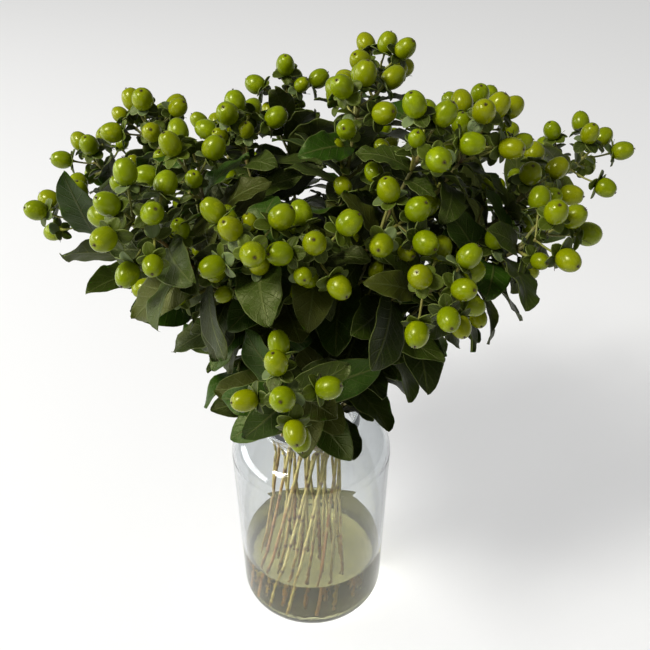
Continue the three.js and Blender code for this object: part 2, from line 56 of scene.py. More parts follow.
GAP = 0.3
VASE = Named(
    base_radius=51, corner_radius=13.5, shoulder_radius=54, shoulder_start=131,
    shoulder_top=151, neck_radius=30.5, lip_radius=33, height=160, wall=2.6, floor=5,
)
LIP_ROOM = 6  # how far off the lip leaves keep at the shoulder's top
WATER_LEVEL = 45.5
CANE_RADIUS = 1.7
NECK = Named(level=156, rings=[0, 11.5, 21], turn=-0.35)
FOOT = Named(spread=1.5, twist=0.85, shift=(-10, -7), loose_turn=0.13, loose_spread=0.07)
BEND = Named(rise=0.42, lean=0.3, marks=30)
BERRY = Named(radius=6.1, length=14.5, middle=0.42, sepal=8.7, spacing=16)
TERMINAL = Named(height=19, tilt=0.06, pedicel=5)
PAIRS = [
    Named(height=13, tilt=0.72, pedicel=16),
    Named(height=7, tilt=1.1, pedicel=16.5),
    Named(height=2, tilt=1.42, pedicel=18),
]
FORK_TURN = 0.85
LEAF = Named(length=48, width=25.5, fold=0.16, wave=1.8, waves=1.5)
LEVELS = Named(first=6, spacing=28.5, pairs=[3, 3, 7], lowest=168, start=0.02)
BEND_PER_REACH = 1.06  # how much longer a bend is than its chord, about
BRACT_SCALE = 0.72
LOW_LEAVES = Named(level=3, scale=1.08, droop=0.2)
BOWL = Named(low=98, slope=1.15)
BALL = Named(cane=2.3, pedicel=1.5, berry=8.4, leaf=4.2)
LEAF_BALLS = Named(
    along=[0.17, 0.3, 0.43, 0.56, 0.69, 0.82, 0.96], across=[-0.8, -0.27, 0.27, 0.8], near=6,
)

# What a draw may do: loose is how far a turn or tilt may be off in the first try and how much
# farther in each later one, roll is a blade's turn round its own length, the rest are ranges.
SPRAY_DRAWS = Named(tries=12, loose=(0.12, 0.04), pedicel=(0.9, 1.12), size=(0.92, 1.06))
LEAF_DRAWS = Named(
    tries=24, loose=(0.25, 0.07), tilt=(0.85, 1.35), roll=0.5,
    length=(0.78, 1.14), width=(0.82, 1.12), droop=(0.35, 1.15),
)


def table(names, rows):
    return [Named(**dict(zip(names, row))) for row in rows]


# The ring in the neck that a stem stands in, its spray's head, its berries, how far the spray leans
# and how far it is turned
STEMS = table(("ring", "head", "berries", "lean", "spin"), [
    (2, (133, 14, 319), 5, 0.8, 0),
    (2, (180, 78, 313), 7, 0.95, 0),
    (2, (116, 128, 322), 5, 0.75, 0),
    (2, (44, 158, 290), 5, 0.9, 0),
    (2, (-16, 112, 347), 5, 0.45, 0),
    (2, (-66, 150, 296), 5, 0.9, 0),
    (2, (-146, 92, 304), 5, 0.9, 2.1),
    (2, (-153, 42, 287), 5, 0.95, 0),
    (2, (-76, -26, 282), 4, 1.0, 0),
    (2, (-88, -62, 336), 7, 0.7, 2.3),
    (2, (-31, -72, 327), 5, 0.75, 2.1),
    (2, (-10, -110, 262), 7, 0.95, 1.8),
    (2, (70, -76, 302), 8, 1.1, 2.0),
    (2, (129, -42, 318), 5, 0.85, 0),
    (1, (93, -10, 362), 6, 0.5, 1.0),
    (1, (44, 84, 368), 6, 0.35, 0),
    (1, (-41, 40, 345), 5, 0.25, 0),
    (1, (-103, 66, 340), 8, 0.6, 0),
    (1, (-66, -18, 344), 5, 0.4, 0),
    (1, (5, -68, 320), 5, 0.8, 1.0),
    (1, (50, -48, 326), 5, 0.8, 1.9),
    (1, (62, -34, 367), 5, 0.4, 1.5),
    (0, (28, 0, 374), 5, 0.15, 0),
])
# Leaves that stand out in the photograph: the stem, how far along its bend, the blade's tip, where
# its upper face looks, its width and its droop
CHOSEN_LEAVES = table(("stem", "at", "tip", "face", "width", "droop"), [
    (2, 0.68, (99, 49, 325), (-0.6, 0.8, 0.4), 22, 0.3),
    (8, 0.98, (-139, 10, 327), (0, -0.9, 0.4), 23, 0.2),
    (8, 0.84, (-142, -8, 284), (-0.3, 0.9, 0.3), 22, 0.4),
    (8, 0.74, (-126, -26, 269), (0, -0.6, 0.8), 23, 0.5),
    (8, 0.56, (-104, -22, 255), (0, -0.8, 0.5), 29, 0.4),
    (8, 0.57, (-90, 44, 203), (0, 0.9, -0.3), 20, 0.6),
    (10, 0.73, (-41, -88, 267), (-0.8, -0.5, 0.3), 20, 0.5),
    (12, 0.22, (25, -68, 181), (0, -0.8, 0.6), 24, 0.4),
    (13, 0.82, (33, -95, 266), (0.4, -0.8, 0.2), 27, 0.4),
    (13, 0.38, (41, -70, 227), (0.4, -0.8, 0.3), 24, 0.4),
    (14, 0.52, (66, -68, 229), (0.4, -0.6, 0.6), 28, 0.5),
    (19, 0.68, (-77, 25, 283), (-0.5, -0.6, 0.6), 20, 0.4),
    (19, 0.4, (-7, -20, 283), (0.6, -0.5, 0.6), 20, 0.3),
    (21, 0.69, (15, -72, 258), (-0.4, -0.7, 0.6), 28, 0.4),
])

# ---- growth that the CAD model leaves out (mm and radians) ----

SEEDS = {
    "cane": 300, "spray": 100, "leaves": 500, "sides": 700, "fillers": 2700, "stem": 900, "fruit": 1300,
}
FINE = Named(cane=1.9, pedicel=1.0, berry=6.8, leaf=1.8, marks=90)
SIDE = Named(
    levels=3, lowest=268, bare=[12], tries=12, tilt=(0.35, 0.95), turn=0.6,
    reach=(10, 26), size=(0.64, 0.92), berry_tilt=0.2, pedicel=(0.85, 1.15), inner=3,
    # each berry: tilt from the stalk, turn round it, height below its end, pedicel
    berries=[(0.1, 0, 0, 4.5), (0.85, 0, 4, 12), (0.85, math.pi, 4, 12)],
)
FILL = Named(
    tries=14, loose=(0.4, 0.15), roll=0.7, length=(0.75, 1.1), width=(0.8, 1.1),
    droop=(0.3, 1.3), choice=2, levels=7,
    # each round: its first level, how large its leaves are, and the range of their tilt
    rounds=[(0.3, 0.95, (0.3, 1.3)), (0.6, 0.85, (0.5, 1.4)), (1.0, 0.65, (0.4, 1.3)),
            (0.15, 0.7, (0.4, 1.5)), (0.75, 0.75, (0.6, 1.6)), (0.4, 0.6, (0.3, 1.8)),
            (0.08, 0.5, (0.4, 1.8)), (0.25, 0.5, (0.3, 1.6))],
)
OUTLINE = Named(radius=178, top=385, low=122, slope=1.15)
CANOPY = Named(fall=0.35, below=3)

# ---- the camera (mm and degrees) and the studio (m and W) ----

CAMERA = Named(place=(9.4, -430, 513), down=33.3, lens=46.0, sensor=36)
LIGHTS = table(("name", "place", "target", "size", "power", "colour"), [
    ("key", (-1.5, -0.9, 2.3), (0, 0, 0.2), (0.6, 0.8), 86, (1.0, 0.99, 0.95)),
    ("fill", (1.4, -1.6, 1.4), (0, 0, 0.2), (2.0, 2.0), 6, (0.95, 0.97, 1.0)),
    ("window", (-2.4, 0.0, 0.85), (0, 0, 0.85), (2.8, 0.8), 45, (0.98, 0.99, 1.0)),
])
WORLD = Named(colour=(1.0, 0.99, 0.95), strength=0.16)
FLOOR = Named(half=4.0, below=0.0002, grey=0.42, glow=0.46, roughness=0.9)


# ---- helpers ----

def draws_from(use, index):
    """A repeatable draw between 0 and 1 (mulberry32) for one use of one stem."""
    mask = 0xFFFFFFFF
    state = SEEDS[use] + index

    def draw():
        nonlocal state
        state = (state + 0x6D2B79F5) & mask
        t = state
        t = ((t ^ (t >> 15)) * (t | 1)) & mask
        t ^= (t + (((t ^ (t >> 7)) * (t | 61)) & mask)) & mask
        return ((t ^ (t >> 14)) & mask) / (mask + 1)

    return draw


def between(draw, low, high):
    return low + (high - low) * draw()


def either_way(draw, most):
    return between(draw, -most, most)


def loosely(draw, rule, attempt):
    """How far a try is off: the later the try, the farther."""
    first, more = rule.loose
    return either_way(draw, first + more * attempt)


def unit(v):
    return v / np.linalg.norm(v)


def square_to(axis, v):
    """The unit vector across an axis that is nearest to a vector."""
    return unit(v - axis * (v @ axis))


def round_at(u, v, turn):
    return u * math.cos(turn) + v * math.sin(turn)


def across_of(direction):
    """Two unit vectors across a direction."""
    guide = np.array([1.0, 0.0, 0.0]) if abs(direction[2]) > 0.9 else UP
    u = unit(np.cross(guide, direction))
    return u, np.cross(direction, u)


def tilted(axis, tilt, turn):
    """The direction at a tilt from an axis, turned by an angle round it."""
    return round_at(*across_of(axis), turn) * math.sin(tilt) + axis * math.cos(tilt)


def turned(v, axis, angle):
    """A vector turned round an axis."""
    cos, sin = math.cos(angle), math.sin(angle)
    return v * cos + np.cross(axis, v) * sin + axis * (axis @ v) * (1 - cos)


FIRST_LEAF = 1000  # owners below it are stems
NOBODY = -1


class Room:
    """The balls that are taken, each with its owner."""

    def __init__(self):
        self.at = np.zeros((0, 3))
        self.radius = np.zeros(0)
        self.owner = np.zeros(0, int)

    def add(self, at, radius, owner):
        at = np.atleast_2d(at)
        self.at = np.vstack([self.at, at])
        self.radius = np.append(self.radius, np.full(len(at), radius))
        self.owner = np.append(self.owner, np.full(len(at), owner))

    def add_line(self, start, end, radius, owner):
        self.add(balls_along(start, end, radius), radius, owner)

    def add_berry(self, berry, sizes, owner):
        self.add(berry.centre, sizes.berry, owner)
        self.add_line(berry.root, berry.seat, sizes.pedicel, owner)

    def add_leaf(self, balls, sizes):
        """Every leaf is an owner of its own."""
        self.add(balls, sizes.leaf, FIRST_LEAF + len(self.at))

    def is_clear(self, at, radius, owner):
        """Whether balls are clear of those of other owners."""
        at = np.atleast_2d(at)
        middle = at.mean(axis=0)
        reach = np.linalg.norm(at - middle, axis=1).max() + radius
        near = np.linalg.norm(self.at - middle, axis=1) < reach + self.radius
        near &= self.owner != owner
        gaps = np.linalg.norm(self.at[None, near] - at[:, None], axis=2)
        return not (gaps < radius + self.radius[None, near]).any()


def balls_along(start, end, radius):
    count = max(1, math.ceil(np.linalg.norm(end - start) / (2 * radius)))
    return np.array([start + (end - start) * (i / count) for i in range(count + 1)])


# ---- the layout, as in the CAD model ----

INNER_CORNER = VASE.corner_radius - VASE.wall
INNER_FLAT = VASE.base_radius - VASE.corner_radius


def floor_under(radius):
    """The height of the glass floor, at a distance from the vase's axis."""
    over = min(max(0, radius - INNER_FLAT), INNER_CORNER * 0.99)
    return VASE.floor + INNER_CORNER - math.sqrt(INNER_CORNER ** 2 - over ** 2)


def outer_wall_at(z):
    rise = VASE.shoulder_start - VASE.corner_radius
    slope = (VASE.shoulder_radius - VASE.base_radius) / rise
    return VASE.base_radius + slope * (z - VASE.corner_radius)


def bezier(points, t):
    a, b, c, d = points
    k = 1 - t
    return a * k ** 3 + b * 3 * k * k * t + c * 3 * k * t * t + d * t ** 3


def bezier_tangent(points, t):
    step = 0.0001
    return unit(bezier(points, min(1, t + step)) - bezier(points, max(0, t - step)))


def plan_cane(stem, index, share):
    """A cane is straight from its foot to the neck and bends from there to its spray."""
    draw = draws_from("cane", index)
    head = np.array(stem.head, float)
    outward = unit(np.array([head[0], head[1], 0]))
    axis = outward * math.sin(stem.lean) + UP * math.cos(stem.lean)
    top = head - axis * TERMINAL.height
    radius = NECK.rings[stem.ring]
    turn = share * TURN + NECK.turn
    neck = np.array([radius * math.cos(turn), radius * math.sin(turn), NECK.level])
    foot_turn = turn - FOOT.twist + either_way(draw, FOOT.loose_turn)
    spread = FOOT.spread + either_way(draw, FOOT.loose_spread)
    foot = np.array([
        radius * spread * math.cos(foot_turn) + FOOT.shift[0],
        radius * spread * math.sin(foot_turn) + FOOT.shift[1],
        0.0,
    ])
    foot[2] = floor_under(math.hypot(foot[0], foot[1]) + CANE_RADIUS) + 3 * GAP
    rise = unit(neck - foot)
    reach = np.linalg.norm(top - neck)
    bend = (neck, neck + rise * reach * BEND.rise, top - axis * reach * BEND.lean, top)
    return Named(stem=stem, index=index, foot=foot, neck=neck, bend=bend, top=top,
                 axis=axis, reach=reach)


def plan_canes(room):
    plans = []
    for index, stem in enumerate(STEMS):
        mates = [other for other in STEMS if other.ring == stem.ring]
        plans.append(plan_cane(stem, index, mates.index(stem) / len(mates)))
    for plan in plans:
        room.add_line(plan.foot, plan.neck, BALL.cane, plan.index)
        marks = [bezier(plan.bend, i / BEND.marks) for i in range(BEND.marks + 1)]
        for start, end in zip(marks, marks[1:]):
            room.add_line(start, end, BALL.cane, plan.index)
    return plans


def branches_of(count):
    """The branches below the terminal berry, in opposite pairs; a full spray forks at its second."""
    branches = []
    for i in range(count - 1):
        level = i // 2
        forked = level >= len(PAIRS)
        pair = 1 if forked else level
        turn = (i % 2) * math.pi + pair * math.pi / 2
        branches.append(Named(**vars(PAIRS[pair]), turn=turn + FORK_TURN if forked else turn))
    return branches


def new_berry(root, along, pedicel, size, tall):
    seat = root + along * pedicel
    return Named(root=root, seat=seat, along=along, size=size, tall=tall,
                 centre=seat + along * (BERRY.length * tall * BERRY.middle))


def gap_to(berry, others):
    """How far a berry's centre is from the nearest other one."""
    gaps = (np.linalg.norm(other.centre - berry.centre) for other in others)
    return min(gaps, default=math.inf)


def plan_spray(plan, room):
    """The spray on a cane; a berry that finds no clear place is left out."""
    draw = draws_from("spray", plan.index)
    owner, top, axis = plan.index, plan.top, plan.axis
    start = top + axis * GAP
    tip = top + axis * TERMINAL.height
    spin = plan.stem.spin + between(draw, 0, math.pi)
    berries = []
    room.add_line(start, tip, BALL.pedicel, owner)
    for branch in [Named(**vars(TERMINAL), turn=0), *branches_of(plan.stem.berries)]:
        root = top + axis * branch.height
        for attempt in range(SPRAY_DRAWS.tries):
            tilt = branch.tilt + loosely(draw, SPRAY_DRAWS, attempt)
            turn = spin + branch.turn + loosely(draw, SPRAY_DRAWS, attempt)
            pedicel = branch.pedicel * between(draw, *SPRAY_DRAWS.pedicel)
            size = between(draw, *SPRAY_DRAWS.size)
            berry = new_berry(root, tilted(axis, tilt, turn), pedicel, size, 1)
            if gap_to(berry, berries) <= BERRY.spacing:
                continue
            if not room.is_clear(berry.centre, BALL.berry, owner):
                continue
            stalk = balls_along(root, berry.seat, BALL.pedicel)
            if not room.is_clear(stalk, BALL.pedicel, owner):
                continue
            room.add_berry(berry, BALL, owner)
            berry.spin = between(draw, 0, TURN)
            berries.append(berry)
            break
    return Named(start=start, tip=tip, axis=axis, berries=berries)


def blade_outline(s):
    """Half the blade's width along it: a broad base, oblong, with a blunt tip."""
    return np.maximum(0, np.sin(math.pi * s ** 0.85)) ** 0.6


def droop_line(leaf, s):
    """The middle line of a blade at s, from root to tip, and the angle it has bent by there."""
    angle = leaf.droop * s
    run = leaf.length * np.sin(angle) / leaf.droop
    fall = leaf.length * (1 - np.cos(angle)) / leaf.droop
    return leaf.root + leaf.along * run[..., None] - leaf.normal * fall[..., None], angle


def blade_points(leaf, s, w, lift=0.0, curve=1.0):
    """Points of a blade on a grid of s, from root to tip, and w, across from -1 to 1."""
    s = np.asarray(s, float)[:, None]
    w = np.asarray(w, float)[None, :]
    middle, angle = droop_line(leaf, s)
    half = leaf.width / 2 * blade_outline(s)
    phase = leaf.phase + np.where(w > 0, 1.3, 0.0)
    waving = LEAF.wave * np.sin(TURN * LEAF.waves * s + phase) * s
    rise = lift + np.abs(w) ** curve * (LEAF.fold * half + waving)
    normal = leaf.normal * np.cos(angle)[..., None] + leaf.along * np.sin(angle)[..., None]
    return middle + leaf.side * (w * half)[..., None] + normal * rise[..., None]


def is_in_bowl(point):
    """Whether a point is over the cone that all leaves keep above."""
    return point[2] > BOWL.low + BOWL.slope * math.hypot(point[0], point[1])


def is_off_glass(point, radius):
    far = math.hypot(point[0], point[1])
    if point[2] > VASE.height + radius:
        return True
    if point[2] > VASE.shoulder_top:
        return far > VASE.lip_radius + radius
    shoulder = VASE.shoulder_top - VASE.shoulder_start
    drop = max(0, point[2] - VASE.shoulder_start) / shoulder
    start, end = VASE.shoulder_radius, VASE.lip_radius + LIP_ROOM
    return far > start + (end - start) * drop ** 2 + radius


def new_leaf(root, along, normal, length, width, droop, phase=0.0):
    return Named(root=root, along=along, normal=normal, side=np.cross(along, normal),
                 length=length, width=width, droop=droop, phase=phase)


def drawn_leaf(root, ahead, turn, rule, scale, draw):
    """A leaf at a turn round a cane that runs ahead, by the ranges of a rule."""
    tilt = between(draw, *rule.tilt)
    along = tilted(ahead, tilt, turn)
    normal = turned(tilted(ahead, tilt - math.pi / 2, turn), along, either_way(draw, rule.roll))
    length = LEAF.length * scale * between(draw, *rule.length)
    width = LEAF.width * scale * between(draw, *rule.width)
    droop = between(draw, *rule.droop)
    return new_leaf(root, along, normal, length, width, droop, between(draw, 0, TURN))


def plan_leaf(plan, at, level, half, draw, room):
    """A leaf of the CAD model, or None if no place for it is clear."""
    if level >= LEVELS.pairs[plan.stem.ring] or not is_leafy(plan, at):
        return None
    root = bezier(plan.bend, at)
    ahead = bezier_tangent(plan.bend, at)
    is_low = level >= LOW_LEAVES.level
    scale = BRACT_SCALE if level == 0 else LOW_LEAVES.scale if is_low else 1
    first = len(LEAF_BALLS.across)
    for attempt in range(LEAF_DRAWS.tries):
        turn = half * math.pi + level * math.pi / 2 + loosely(draw, LEAF_DRAWS, attempt)
        leaf = drawn_leaf(root, ahead, plan.index + turn, LEAF_DRAWS, scale, draw)
        if is_low:
            leaf.droop += LOW_LEAVES.droop
        balls = leaf_balls(leaf)
        if not all(is_in_bowl(ball) and is_off_glass(ball, BALL.leaf) for ball in balls):
            continue
        if (np.linalg.norm(balls[first:] - root, axis=1) <= LEAF_BALLS.near).any():
            continue
        if not room.is_clear(balls[:first], BALL.leaf, plan.index):
            continue
        if not room.is_clear(balls[first:], BALL.leaf, NOBODY):
            continue
        room.add_leaf(balls, BALL)
        return leaf
    return None


def chosen_leaf(chosen, plan):
    """The blade's chord runs from its root to the chosen tip; its droop bends it evenly over that."""
    root = bezier(plan.bend, chosen.at)
    chord = np.array(chosen.tip, float) - root
    reach = np.linalg.norm(chord)
    chord = chord / reach
    looks = square_to(chord, np.array(chosen.face, float))
    half = chosen.droop / 2
    along = chord * math.cos(half) + looks * math.sin(half)
    normal = looks * math.cos(half) - chord * math.sin(half)
    length = reach * half / math.sin(half)
    return new_leaf(root, along, normal, length, chosen.width, chosen.droop, chosen.tip[0])


def leaf_balls(leaf):
    return blade_points(leaf, LEAF_BALLS.along, LEAF_BALLS.across).reshape(-1, 3)


def node_place(plan, level):
    """How far along its bend a cane's pair of leaves grows."""
    down = LEVELS.first + level * LEVELS.spacing
    return 1 - down / (plan.reach * BEND_PER_REACH)


def grow(use, plans, levels, rule, room):
    """Grows by a rule on both sides of each cane, level by level: a list for each stem."""
    draws = [draws_from(use, plan.index) for plan in plans]
    grown = [[] for _ in plans]
    for level, *more in levels:
        for plan in plans:
            at = node_place(plan, level)
            for half in (0, 1):
                growth = rule(plan, at, level, half, draws[plan.index], room, *more)
                if growth:
                    grown[plan.index].append(growth)
    return grown


def is_leafy(plan, at):
    """Whether leaves still grow at a place on a cane's bend."""
    return at >= LEVELS.start and bezier(plan.bend, at)[2] >= LEVELS.lowest


def plan_leaves(plans, room):
    leaves = [[] for _ in plans]
    for chosen in CHOSEN_LEAVES:
        index = chosen.stem - 1
        leaf = chosen_leaf(chosen, plans[index])
        room.add_leaf(leaf_balls(leaf), BALL)
        leaves[index].append(leaf)
    levels = [(level,) for level in range(max(LEVELS.pairs))]
    grown = grow("leaves", plans, levels, plan_leaf, room)
    return [chosen + drawn for chosen, drawn in zip(leaves, grown)]


# ---- what grows between the pieces of the CAD model ----

def fine_room(plans, sprays, leaves):
    """The room again with closer balls, so that finer growth fits between."""
    room = Room()
    for plan in plans:
        room.add_line(plan.foot, plan.neck, FINE.cane, plan.index)
        path = [bezier(plan.bend, t) for t in np.linspace(0, 1, FINE.marks)]
        room.add(path, FINE.cane, plan.index)
    for owner, spray in enumerate(sprays):
        room.add_line(spray.start, spray.tip, FINE.pedicel, owner)
        for berry in spray.berries:
            room.add_berry(berry, FINE, owner)
    for owned in leaves:
        for leaf in owned:
            room.add_leaf(fine_balls(leaf), FINE)
    return room


def fine_balls(leaf):
    """Balls about 5 mm apart along a blade, in five rows, or in three on a narrow one."""
    along = np.linspace(0.14, 0.97, max(5, round(leaf.length / 5)))
    across = np.linspace(-0.92, 0.92, 5 if leaf.width > 15 else 3)
    return blade_points(leaf, along, across).reshape(-1, 3)


def plan_side_spray(plan, at, level, half, draw, room):
    """A few smaller berries on a stalk from the axil of a leaf, or None if none has room."""
    owner = plan.index
    if owner + 1 in SIDE.bare:
        return None
    start = bezier(plan.bend, at)
    ahead = bezier_tangent(plan.bend, at)
    turn = owner + half * math.pi + level * math.pi / 2
    for _ in range(SIDE.tries):
        axis = tilted(ahead, between(draw, *SIDE.tilt), turn + either_way(draw, SIDE.turn))
        reach = between(draw, *SIDE.reach)
        tip = start + axis * reach
        stalk = balls_along(start, tip, FINE.pedicel)[SIDE.inner:]
        if len(stalk) and not room.is_clear(stalk, FINE.pedicel, owner):
            continue
        spin = between(draw, 0, TURN)
        berries = []
        for tilt, turn_round, height, pedicel in SIDE.berries:
            along = tilted(axis, tilt + either_way(draw, SIDE.berry_tilt), spin + turn_round)
            pedicel = pedicel * between(draw, *SIDE.pedicel)
            size = between(draw, *SIDE.size)
            berry = new_berry(start + axis * (reach - height), along, pedicel, size, size)
            if gap_to(berry, berries) < 2 * FINE.berry:
                continue
            if berry.centre[2] < SIDE.lowest or not inside_bunch(berry.centre):
                continue
            if room.is_clear(berry.centre, FINE.berry, NOBODY):
                berry.spin = between(draw, 0, TURN)
                berries.append(berry)
        if not berries:
            continue
        room.add(stalk, FINE.pedicel, owner)
        for berry in berries:
            room.add_berry(berry, FINE, owner)
        return Named(start=start, tip=tip, axis=axis, berries=berries)
    return None


def inside_bunch(point):
    """Extra growth keeps inside the bunch's own outline, a little inside the bowl of its leaves."""
    far = math.hypot(point[0], point[1])
    low = OUTLINE.low + far * OUTLINE.slope
    return far < OUTLINE.radius and low < point[2] < OUTLINE.top and is_in_bowl(point)


def below_canopy(point):
    """Filling leaves stay under a canopy that falls away from the heads of the sprays."""
    heads = np.array([stem.head for stem in STEMS], float)
    away = np.linalg.norm(heads[:, :2] - point[:2], axis=1)
    return point[2] < (heads[:, 2] - CANOPY.fall * away).max() - CANOPY.below


def room_round(points, room):
    """How far points are on average from the nearest blade."""
    blades = room.at[room.owner >= FIRST_LEAF]
    return np.linalg.norm(blades[None] - points[:, None], axis=2).min(axis=1).mean()


def plan_filler(plan, at, level, half, draw, room, rule):
    """A leaf that fills a gap, or None: of a few that fit, the one with most room round it."""
    if not is_leafy(plan, at):
        return None
    root = bezier(plan.bend, at)
    ahead = bezier_tangent(plan.bend, at)
    found = []
    for attempt in range(rule.tries):
        turn = plan.index + half * math.pi + level * math.pi / 2 + loosely(draw, rule, attempt)
        leaf = drawn_leaf(root, ahead, turn, rule, rule.scale, draw)
        tip, middle = blade_points(leaf, [0.97, 0.6], [0.0])[:, 0]
        if not (inside_bunch(tip) and below_canopy(tip) and below_canopy(middle)):
            continue
        balls = fine_balls(leaf)
        if not all(is_off_glass(ball, FINE.leaf) for ball in balls):
            continue
        if room.is_clear(balls, FINE.leaf, plan.index):
            found.append((room_round(np.array([tip, middle]), room), attempt, leaf, balls))
            if len(found) == rule.choice:
                break
    if not found:
        return None
    _, _, leaf, balls = max(found, key=lambda item: item[:2])
    room.add_leaf(balls, FINE)
    return leaf


def plan_growth(plans, sprays, leaves):
    """Side sprays and filling leaves: both lists by stem."""
    room = fine_room(plans, sprays, leaves)
    levels = [(level,) for level in range(SIDE.levels)]
    sides = grow("sides", plans, levels, plan_side_spray, room)
    levels = [(first + step, Named(**vars(FILL), scale=scale, tilt=tilt))
              for first, scale, tilt in FILL.rounds for step in range(FILL.levels)]
    return sides, grow("fillers", plans, levels, plan_filler, room)


# ---- mesh building ----

class Pile:
    """Collects closed bodies into one mesh: points, faces, a material and a plan for each."""

    def __init__(self):
        self.points, self.plan = [], []
        self.quads, self.quad_slots = [], []
        self.tris, self.tri_slots = [], []
        self.count = 0

    def add(self, points, quads, tris=(), slot=0, tri_slot=None, plan=0.0):
        """plan is a vector for each point, which the materials read."""
        tris = np.asarray(tris, int).reshape(-1, 3)
        self.points.append(points)
        self.plan.append(np.broadcast_to(plan, points.shape))
        self.quads.append(quads + self.count)
        self.tris.append(tris + self.count)
        self.quad_slots.append(np.broadcast_to(slot, len(quads)))
        self.tri_slots.append(np.broadcast_to(slot if tri_slot is None else tri_slot, len(tris)))
        self.count += len(points)

    def make(self, name, materials):
        quads, tris = np.vstack(self.quads), np.vstack(self.tris)
        mesh = bpy.data.meshes.new(name)
        corners = np.concatenate([quads.ravel(), tris.ravel()])
        mesh.vertices.add(self.count)
        mesh.vertices.foreach_set("co", (np.vstack(self.points) * MM).ravel())
        mesh.loops.add(len(corners))
        mesh.loops.foreach_set("vertex_index", corners)
        tri_starts = quads.size + np.arange(len(tris)) * 3
        starts = np.concatenate([np.arange(len(quads)) * 4, tri_starts])
        mesh.polygons.add(len(starts))
        mesh.polygons.foreach_set("loop_start", starts)
        slots = np.concatenate([*self.quad_slots, *self.tri_slots]).astype(int)
        mesh.polygons.foreach_set("material_index", slots)
        mesh.polygons.foreach_set("use_smooth", np.ones(len(starts), bool))
        plan = mesh.attributes.new("plan", "FLOAT_VECTOR", "POINT")
        plan.data.foreach_set("vector", np.vstack(self.plan).ravel())
        mesh.update(calc_edges=True)
        mesh.validate()
        for material in materials:
            mesh.materials.append(material)
        piece = bpy.data.objects.new(name, mesh)
        bpy.context.collection.objects.link(piece)
        return piece


def grid_quads(rows, columns, closed=False):
    """Quads of a grid of points, with its columns joined round if closed."""
    across = np.arange(columns if closed else columns - 1)
    i, j = np.meshgrid(np.arange(rows - 1), across, indexing="ij")
    k = (j + 1) % columns
    return np.stack([i * columns + j, i * columns + k, (i + 1) * columns + k, (i + 1) * columns + j],
                    axis=-1).reshape(-1, 4)


def ringed(rings, first, last):
    """A closed body from rings of points and its two poles: its points, quads and triangles."""
    count, sides = len(rings), len(rings[0])
    around = np.arange(sides)
    onward = (around + 1) % sides
    base = (count - 1) * sides
    pole = np.full(sides, count * sides)
    caps = [np.stack([onward, around, pole], axis=1),
            np.stack([base + around, base + onward, pole + 1], axis=1)]
    points = np.vstack([*rings, [first, last]])
    return points, grid_quads(count, sides, closed=True), np.vstack(caps)


def ring_plan(sides, first, second, tone, last=0.0):
    """The plan of a ringed body: two values for its rings, its tone, and one for its last pole."""
    plan = np.zeros((len(first) * sides + 2, 3))
    plan[:-2, 0] = np.repeat(first, sides)
    plan[:-2, 1] = np.broadcast_to(second, (len(first), sides)).ravel()
    plan[-1, 0] = last
    plan[:, 2] = tone
    return plan


def tube(path, radii, sides):
    """A tube round a path, with flat closed ends."""
    path = np.asarray(path)
    steps = np.gradient(path, axis=0)
    ahead = steps / np.linalg.norm(steps, axis=1)[:, None]
    turns = np.arange(sides) / sides * TURN
    u, _ = across_of(ahead[0])
    rings = []
    for place, direction, radius in zip(path, ahead, radii):
        u = square_to(direction, u)
        ring = np.outer(np.cos(turns), u) + np.outer(np.sin(turns), np.cross(direction, u))
        rings.append(place + ring * radius)
    return ringed(rings, path[0], path[-1])


def lathe(profile, sides):
    """A body of revolution whose profile starts and ends on the axis."""
    turns = np.arange(sides) / sides * TURN
    rings = [np.stack([r * np.cos(turns), r * np.sin(turns), np.full(sides, z)], axis=1)
             for r, z in profile[1:-1]]
    return ringed(rings, [0, 0, profile[0][1]], [0, 0, profile[-1][1]])


def quarter(centre, radii, start, end, count):
    """Points round an arc of a circle or an ellipse."""
    turns = np.linspace(start, end, count + 1)
    x = centre[0] + radii[0] * np.cos(turns)
    return np.stack([x, centre[1] + radii[1] * np.sin(turns)], axis=1)


def facing(along, spin):
    """Rows are the local x, y and z axes of something that points along a direction."""
    x = round_at(*across_of(along), spin)
    return np.array([x, np.cross(along, x), along])


# ---- materials (linear colours, lengths in mm) ----

# a leaf face's rim is the colour of a painted catch light along each blade's edge
LEAF_FACES = {
    "leaf_upper": Named(
        blade=(0.028, 0.044, 0.004), deep=(0.009, 0.016, 0.002), fresh=(0.017, 0.05, 0.002),
        olive=(0.044, 0.05, 0.005), vein=(0.07, 0.085, 0.02), rim=(0.1, 0.12, 0.03),
        roughness=0.45, veined=0.26,
    ),
    "leaf_lower": Named(
        blade=(0.053, 0.07, 0.01), deep=(0.031, 0.043, 0.006), fresh=(0.044, 0.08, 0.006),
        olive=(0.06, 0.076, 0.009), vein=(0.11, 0.13, 0.03), rim=(0.13, 0.15, 0.04),
        roughness=0.6, veined=0.45,
    ),
}
YELLOWED = (0.11, 0.12, 0.012)
SKIN_COLOURS = Named(
    lime=(0.19, 0.25, 0.0), yellow=(0.3, 0.31, 0.0), deep=(0.08, 0.115, 0.0),
    base=(0.2, 0.25, 0.01), streak=(0.36, 0.38, 0.02), dot=(0.3, 0.34, 0.02),
    dimple=(0.06, 0.035, 0.01),
)
SEPAL_COLOURS = Named(
    dark=(0.018, 0.028, 0.002), light=(0.065, 0.09, 0.005), pale=(0.13, 0.17, 0.07),
    vein=(0.11, 0.14, 0.03), rim=(0.2, 0.24, 0.06),
)
TWIGS = {
    "cane_bark": Named(low=(0.3, 0.16, 0.045), middle=(0.46, 0.4, 0.14), high=(0.17, 0.17, 0.04),
                       knot=(0.1, 0.05, 0.02)),
    "pedicel": Named(low=(0.16, 0.13, 0.03), middle=(0.19, 0.2, 0.03), high=(0.24, 0.27, 0.03),
                     knot=(0.16, 0.1, 0.03)),
}
